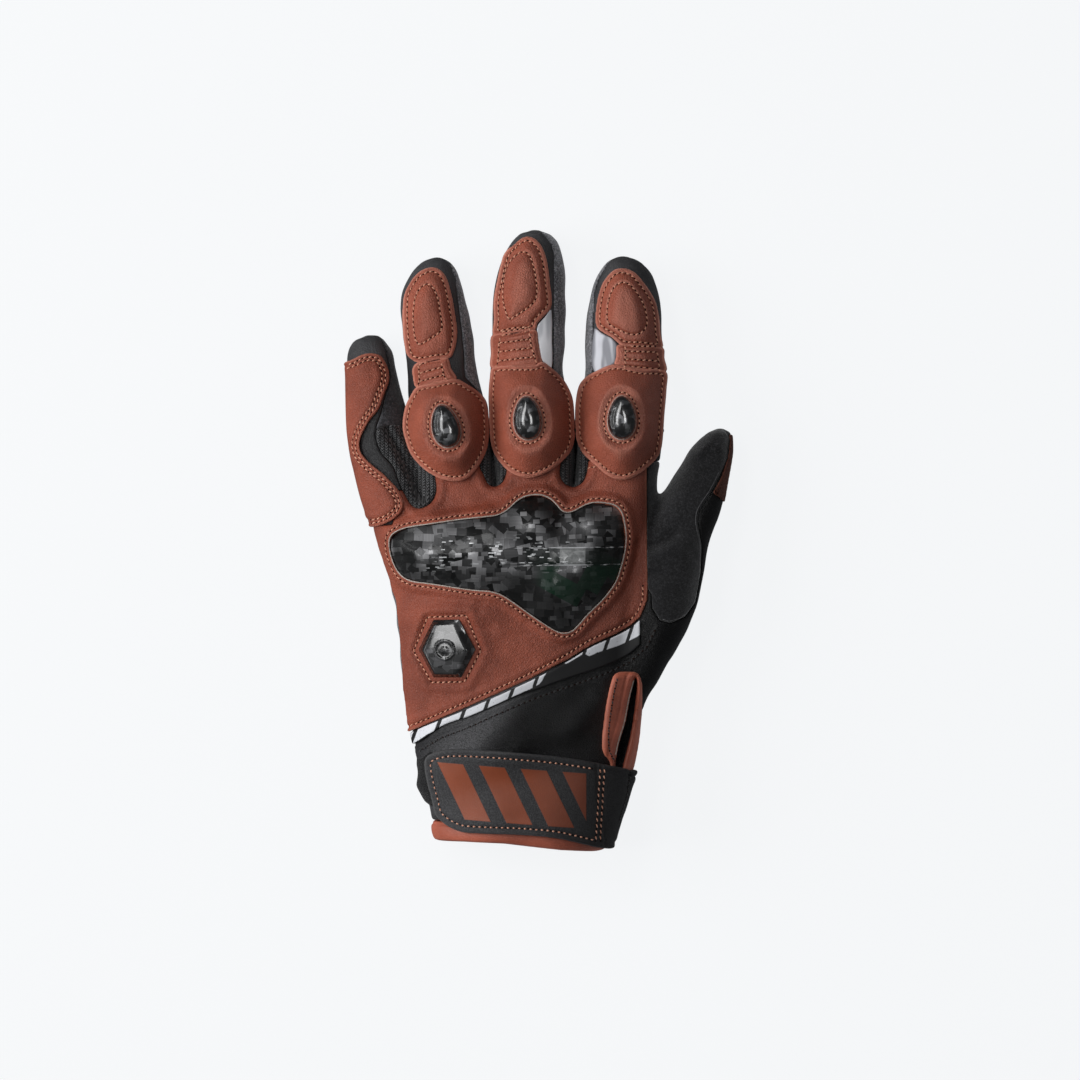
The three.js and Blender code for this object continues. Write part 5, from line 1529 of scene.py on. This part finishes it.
def inset(outline, distance):
    """A closed line inside an outline, or outside it for a negative distance."""
    p = np.asarray(outline, float)
    area = np.sum(p[:, 0] * np.roll(p[:, 1], -1) - np.roll(p[:, 0], -1) * p[:, 1])
    along = np.roll(p, -1, 0) - np.roll(p, 1, 0)
    along /= np.linalg.norm(along, axis=1, keepdims=True)
    inward = np.stack([-along[:, 1], along[:, 0]], 1) * (1 if area > 0 else -1)
    moved = p + inward * distance
    keep = np.abs(inside(p, moved[:, 0], moved[:, 1])) > abs(distance) * 0.93
    return moved[keep]


STITCH_START = 0.1  # Where a stitch starts, as a share of the pitch.


def walk(points, closed, pitch, length):
    """Start and end of each stitch along a line, and the hole after it."""
    p = np.asarray(points, float)
    if closed:
        p = np.concatenate([p, p[:1]])
    lengths = lengths_along(p)
    count = max(1, int(round(lengths[-1] / pitch)))
    real = lengths[-1] / count
    at = real * np.arange(count)

    def place(s):
        return np.stack([np.interp(s, lengths, p[:, 0]), np.interp(s, lengths, p[:, 1])], 1)

    start, end = STITCH_START, STITCH_START + length
    return [place(at + share * real) for share in (start, end, (end + 1 + start) / 2)]


def end_faces(start, rings):
    """Quads that close both ends of a tube whose points begin at start."""
    faces = []
    for ring, turned in ((0, True), (rings - 1, False)):
        i = start + ring * CORNERS
        for k in range(CORNERS // 2 - 1):
            quad = (i + k, i + k + 1, i + CORNERS - 2 - k, i + CORNERS - 1 - k)
            faces.append(quad[::-1] if turned else quad)
    return faces


class Threads:
    """Small capsules gathered in one mesh."""

    # Along a capsule: the share of its length, the share of its radius.
    PROFILE = [(-0.02, 0.35), (0.1, 0.8), (0.5, 1.0), (0.9, 0.8), (1.02, 0.35)]

    def __init__(self):
        self.points, self.faces = [], []

    def add(self, a, b, normal, radius, arch, flat):
        axis = b - a
        if np.linalg.norm(axis) < 1e-6:
            return
        start, rings = len(self.points), len(self.PROFILE)
        side = unit(np.cross(normal, unit(axis)))
        up = np.cross(unit(axis), side)
        for t, r in self.PROFILE:
            centre = a + axis * t + up * arch * math.sin(math.pi * min(max(t, 0), 1))
            for k in range(CORNERS):
                angle = 2 * math.pi * k / CORNERS
                around = side * math.cos(angle) + up * flat * math.sin(angle)
                self.points.append(centre + radius * r * around)
        for r in range(rings - 1):
            for k in range(CORNERS):
                i, k2 = start + r * CORNERS, (k + 1) % CORNERS
                self.faces.append((i + k, i + k2, i + CORNERS + k2, i + CORNERS + k))
        self.faces += end_faces(start, rings)


salmon, hole_shades, dark_thread = Threads(), Threads(), Threads()
STITCH_LIFT = 0.08
STEEPEST_STITCH = 2.2  # How far the two ends of a stitch may differ in height.
HOLE_HALF, HOLE_RADIUS = 0.34, 0.4


def sew(line, carriers, threads=salmon, closed=False, pitch=2.1, radius=0.27, slant=20.0, length=0.54):
    """Stitches along a line, each laid on the first carrier found under it, with a dark mark of painted
    shade at each needle hole.
    """
    starts, ends, gaps = walk(line, closed, pitch, length)
    c, s = math.cos(math.radians(slant)), math.sin(math.radians(slant))
    for a, b, hole in zip(starts, ends, gaps):
        middle, half = (a + b) / 2, (b - a) / 2
        half = np.array([half[0] * c - half[1] * s, half[0] * s + half[1] * c])
        for carrier in carriers:
            first, second = drop(carrier, *(middle - half)), drop(carrier, *(middle + half))
            if first is None or second is None or abs(first[0][2] - second[0][2]) > STEEPEST_STITCH:
                continue
            normal = unit(first[1] + second[1])
            lift = normal * STITCH_LIFT
            threads.add(first[0] + lift, second[0] + lift, normal, radius, 0.14, 0.8)
            spot = drop(carrier, *hole)
            if spot is not None:
                away = unit(second[0] - first[0]) * HOLE_HALF
                hole_shades.add(spot[0] - away, spot[0] + away, spot[1], HOLE_RADIUS, 0.0, 0.3)
            break


def cord(name, line, carrier, radius, material, closed=False, lift=0.0):
    """A thin line of raw edge along a piece."""
    hits = [drop(carrier, x, y) for x, y in line]
    spots = [hit[0] for hit in hits if hit is not None]
    points, faces = [], []
    count = len(spots)
    for i, at in enumerate(spots):
        after = spots[(i + 1) % count] if closed or i + 1 < count else at
        before = spots[i - 1] if closed or i > 0 else at
        along = unit(after - before)
        side = unit(np.cross((0, 0, 1), along))
        up = np.cross(along, side)
        for k in range(CORNERS):
            angle = 2 * math.pi * k / CORNERS
            points.append(at + up * lift + radius * (side * math.cos(angle) + up * math.sin(angle)))
    for i in range(count if closed else count - 1):
        for k in range(CORNERS):
            a, b, k2 = i * CORNERS, (i + 1) % count * CORNERS, (k + 1) % CORNERS
            faces.append((a + k, a + k2, b + k2, b + k))
    if not closed:
        faces += end_faces(0, count)
    make(name, np.array(points), np.array(faces), material)


SLIT_EDGE = [(36.2, -54.4), (34.3, -61.6), (32.6, -70.4), (30.2, -78.4), (29.1, -83.4)]
THUMB_EDGE = [
    (69.6, 26.6), (66.1, 19.9), (61.2, 12.2), (60.4, 7.3), (62.0, -1.8), (61.7, -12.1), (59.7, -23.6),
    (55.8, -29.0), (50.6, -31.3), (47.6, -30.6),
]
SLIT_SEAM = [(29.9, -53.4), (28.4, -60), (26.9, -70), (26.4, -76), (26.9, -82), (29, -86)]

cord("guard_lip_edge", inset(EDGES["guard"], -0.35), "back_panel", 0.24, RAW, closed=True)
for finger in PADDED_FINGERS:
    cord(finger + "_stud_rim", egg(finger, 0.25, 60), finger + "_knuckle_pad", 0.15, RAW,
         closed=True, lift=0.1)
cord("slit_edge", curve(SLIT_EDGE, 0.6, False), "slit_binding", 0.22, RAW, lift=0.1)
cord("thumb_cut_edge", curve(THUMB_EDGE, 0.8, False), "thumb_suede", 0.14, GREY_EDGE)

for finger in PADDED_FINGERS:
    tip, strip, pad = finger + "_tip_pad", finger + "_flex_strip", finger + "_knuckle_pad"
    sew(inset(EDGES[finger + "_tip"], 1.75), [tip], closed=True)
    sew(curve(EDGES[finger + "_almond"], 0.6), [tip], closed=True)
    sew(inset(EDGES[finger + "_pad"], 1.6), [pad], closed=True)
    sew(egg(finger, 1.6), [pad], closed=True, pitch=1.95)
    rows = STRIP_ROWS[finger]
    for row in rows:
        sew(row, [strip, tip, pad])
    for end in (0, 1):
        sew([row[end] for row in rows] + [STRIP_FEET[finger][end]], [strip, pad, tip])

sew(inset(EDGES["guard"], -1.75), ["back_panel"], closed=True)
sew([(18.2, 28.0), (24.4, 29.6)], ["back_panel"])
sew(HEXAGON_SEAM, ["back_panel"], closed=True)
lower = curve(LOWER_EDGE, 0.6, False)
steps = np.gradient(lower, axis=0)
steps /= np.linalg.norm(steps, axis=1, keepdims=True)
sew(lower + np.stack([-steps[:, 1], steps[:, 0]], 1) * 1.9, ["back_panel"])
for distance in (1.5, 2.8):
    line = inset(EDGES["pinky_panel"], distance)
    seen = line[(line[:, 0] > -76.0) & ((line[:, 0] > -75) | (line[:, 1] > 60))]
    sew(opened(seen), ["pinky_panel"])

line = inset(EDGES["strap"], 2.6)
sew(opened(line[line[:, 0] < 21.5]), ["wrist_strap"], pitch=2.2, radius=0.33, slant=4, length=0.38)
for x in (22.6, 24.3):
    sew([(x + 0.6, -88.6), (x - 0.2, -100), (x - 1.2, -117)], ["wrist_strap"], pitch=2.3)
sew([(34.8, -91.5), (33.4, -100), (30.6, -109)], ["wrist_strap"], dark_thread, pitch=2.4)
sew(curve(SLIT_SEAM, 0.6, False), ["slit_binding"], dark_thread, pitch=2.2)
sew([(x, y - 1.9) for x, y in CUFF_SEAM], ["cuff_panel"], dark_thread, pitch=2.3)

for name, threads, material in (("salmon_stitches", salmon, SALMON), ("needle_hole_shade", hole_shades, HOLE_SHADE),
                                ("black_stitches", dark_thread, DARK_THREAD)):
    make(name, np.array(threads.points), np.array(threads.faces), material)


# Floor, light, camera: places in metres

GLOVE_MIDDLE = (0, 0, 0.02)
FLOOR_HALF, FLOOR_LEVEL = 4, -0.0003
LENS, CAMERA_PLACE = 256.4, (-0.0002, 0.0002, 3.02)
THIN_ABOVE, THIN_SHARE = 10000, 0.5  # Faces of a mesh, and how many of them stay.


def rectangle_light(name, place, size, power):
    """A light that shines on the middle of the glove."""
    light = bpy.data.lights.new(name, "AREA")
    light.shape = "RECTANGLE"
    light.size, light.size_y = size
    light.energy = power
    lamp = bpy.data.objects.new(name, light)
    bpy.context.scene.collection.objects.link(lamp)
    lamp.location = place
    back = (Vector(place) - Vector(GLOVE_MIDDLE)).normalized()
    across = Vector((0, 1, 0)).cross(back).normalized()
    lamp.rotation_euler = Matrix((across, back.cross(across), back)).transposed().to_euler()
    return lamp


floor_mesh = bpy.data.meshes.new("floor")
signs = ((-1, -1), (1, -1), (1, 1), (-1, 1))
floor_mesh.from_pydata([(x * FLOOR_HALF, y * FLOOR_HALF, FLOOR_LEVEL) for x, y in signs], [], [(0, 1, 2, 3)])
floor_mesh.materials.append(plain_floor())
floor = bpy.data.objects.new("floor", floor_mesh)
bpy.context.scene.collection.objects.link(floor)
floor.visible_glossy = False

world = bpy.data.worlds.new("studio")
world.use_nodes = True
background = world.node_tree.nodes["Background"]
background.inputs["Color"].default_value = (0.95, 0.97, 1.0, 1)
background.inputs["Strength"].default_value = 0.07
bpy.context.scene.world = world
rectangle_light("key", (-1.55, 0.1, 0.76), (0.8, 1.2), 15).visible_glossy = False
rectangle_light("soft_key", (-1.55, 0.1, 0.76), (0.9, 1.3), 16)
rectangle_light("overhead", (-0.58, 0.5, 1.25), (0.36, 1.3), 6.2)
rectangle_light("side_patch", (0.45, 0.12, 1.3), (0.24, 0.2), 0.9)
rectangle_light("fill", (1.2, -0.6, 1.2), (1.0, 1.0), 0.5)


def thin(piece):
    """Collapse the flattest parts of a mesh, so that the whole glove stays under a million triangles."""
    piece.modifiers.new("thin", "DECIMATE").ratio = THIN_SHARE
    evaluated = piece.evaluated_get(bpy.context.evaluated_depsgraph_get())
    piece.data = bpy.data.meshes.new_from_object(evaluated)
    piece.modifiers.clear()


NOT_THINNED = ("knuckle_guard", "hexagon_cap", "needle_hole_shade", "salmon_stitches")
for name, (piece, points, faces) in PIECES.items():
    if len(faces) > THIN_ABOVE and name not in NOT_THINNED:
        thin(piece)

camera_data = bpy.data.cameras.new("camera")
camera_data.sensor_width = 36
camera_data.lens = LENS
camera_data.clip_end = 20
camera = bpy.data.objects.new("camera", camera_data)
camera.location = CAMERA_PLACE
bpy.context.scene.collection.objects.link(camera)
bpy.context.scene.camera = camera
bpy.context.scene.view_settings.view_transform = "Standard"
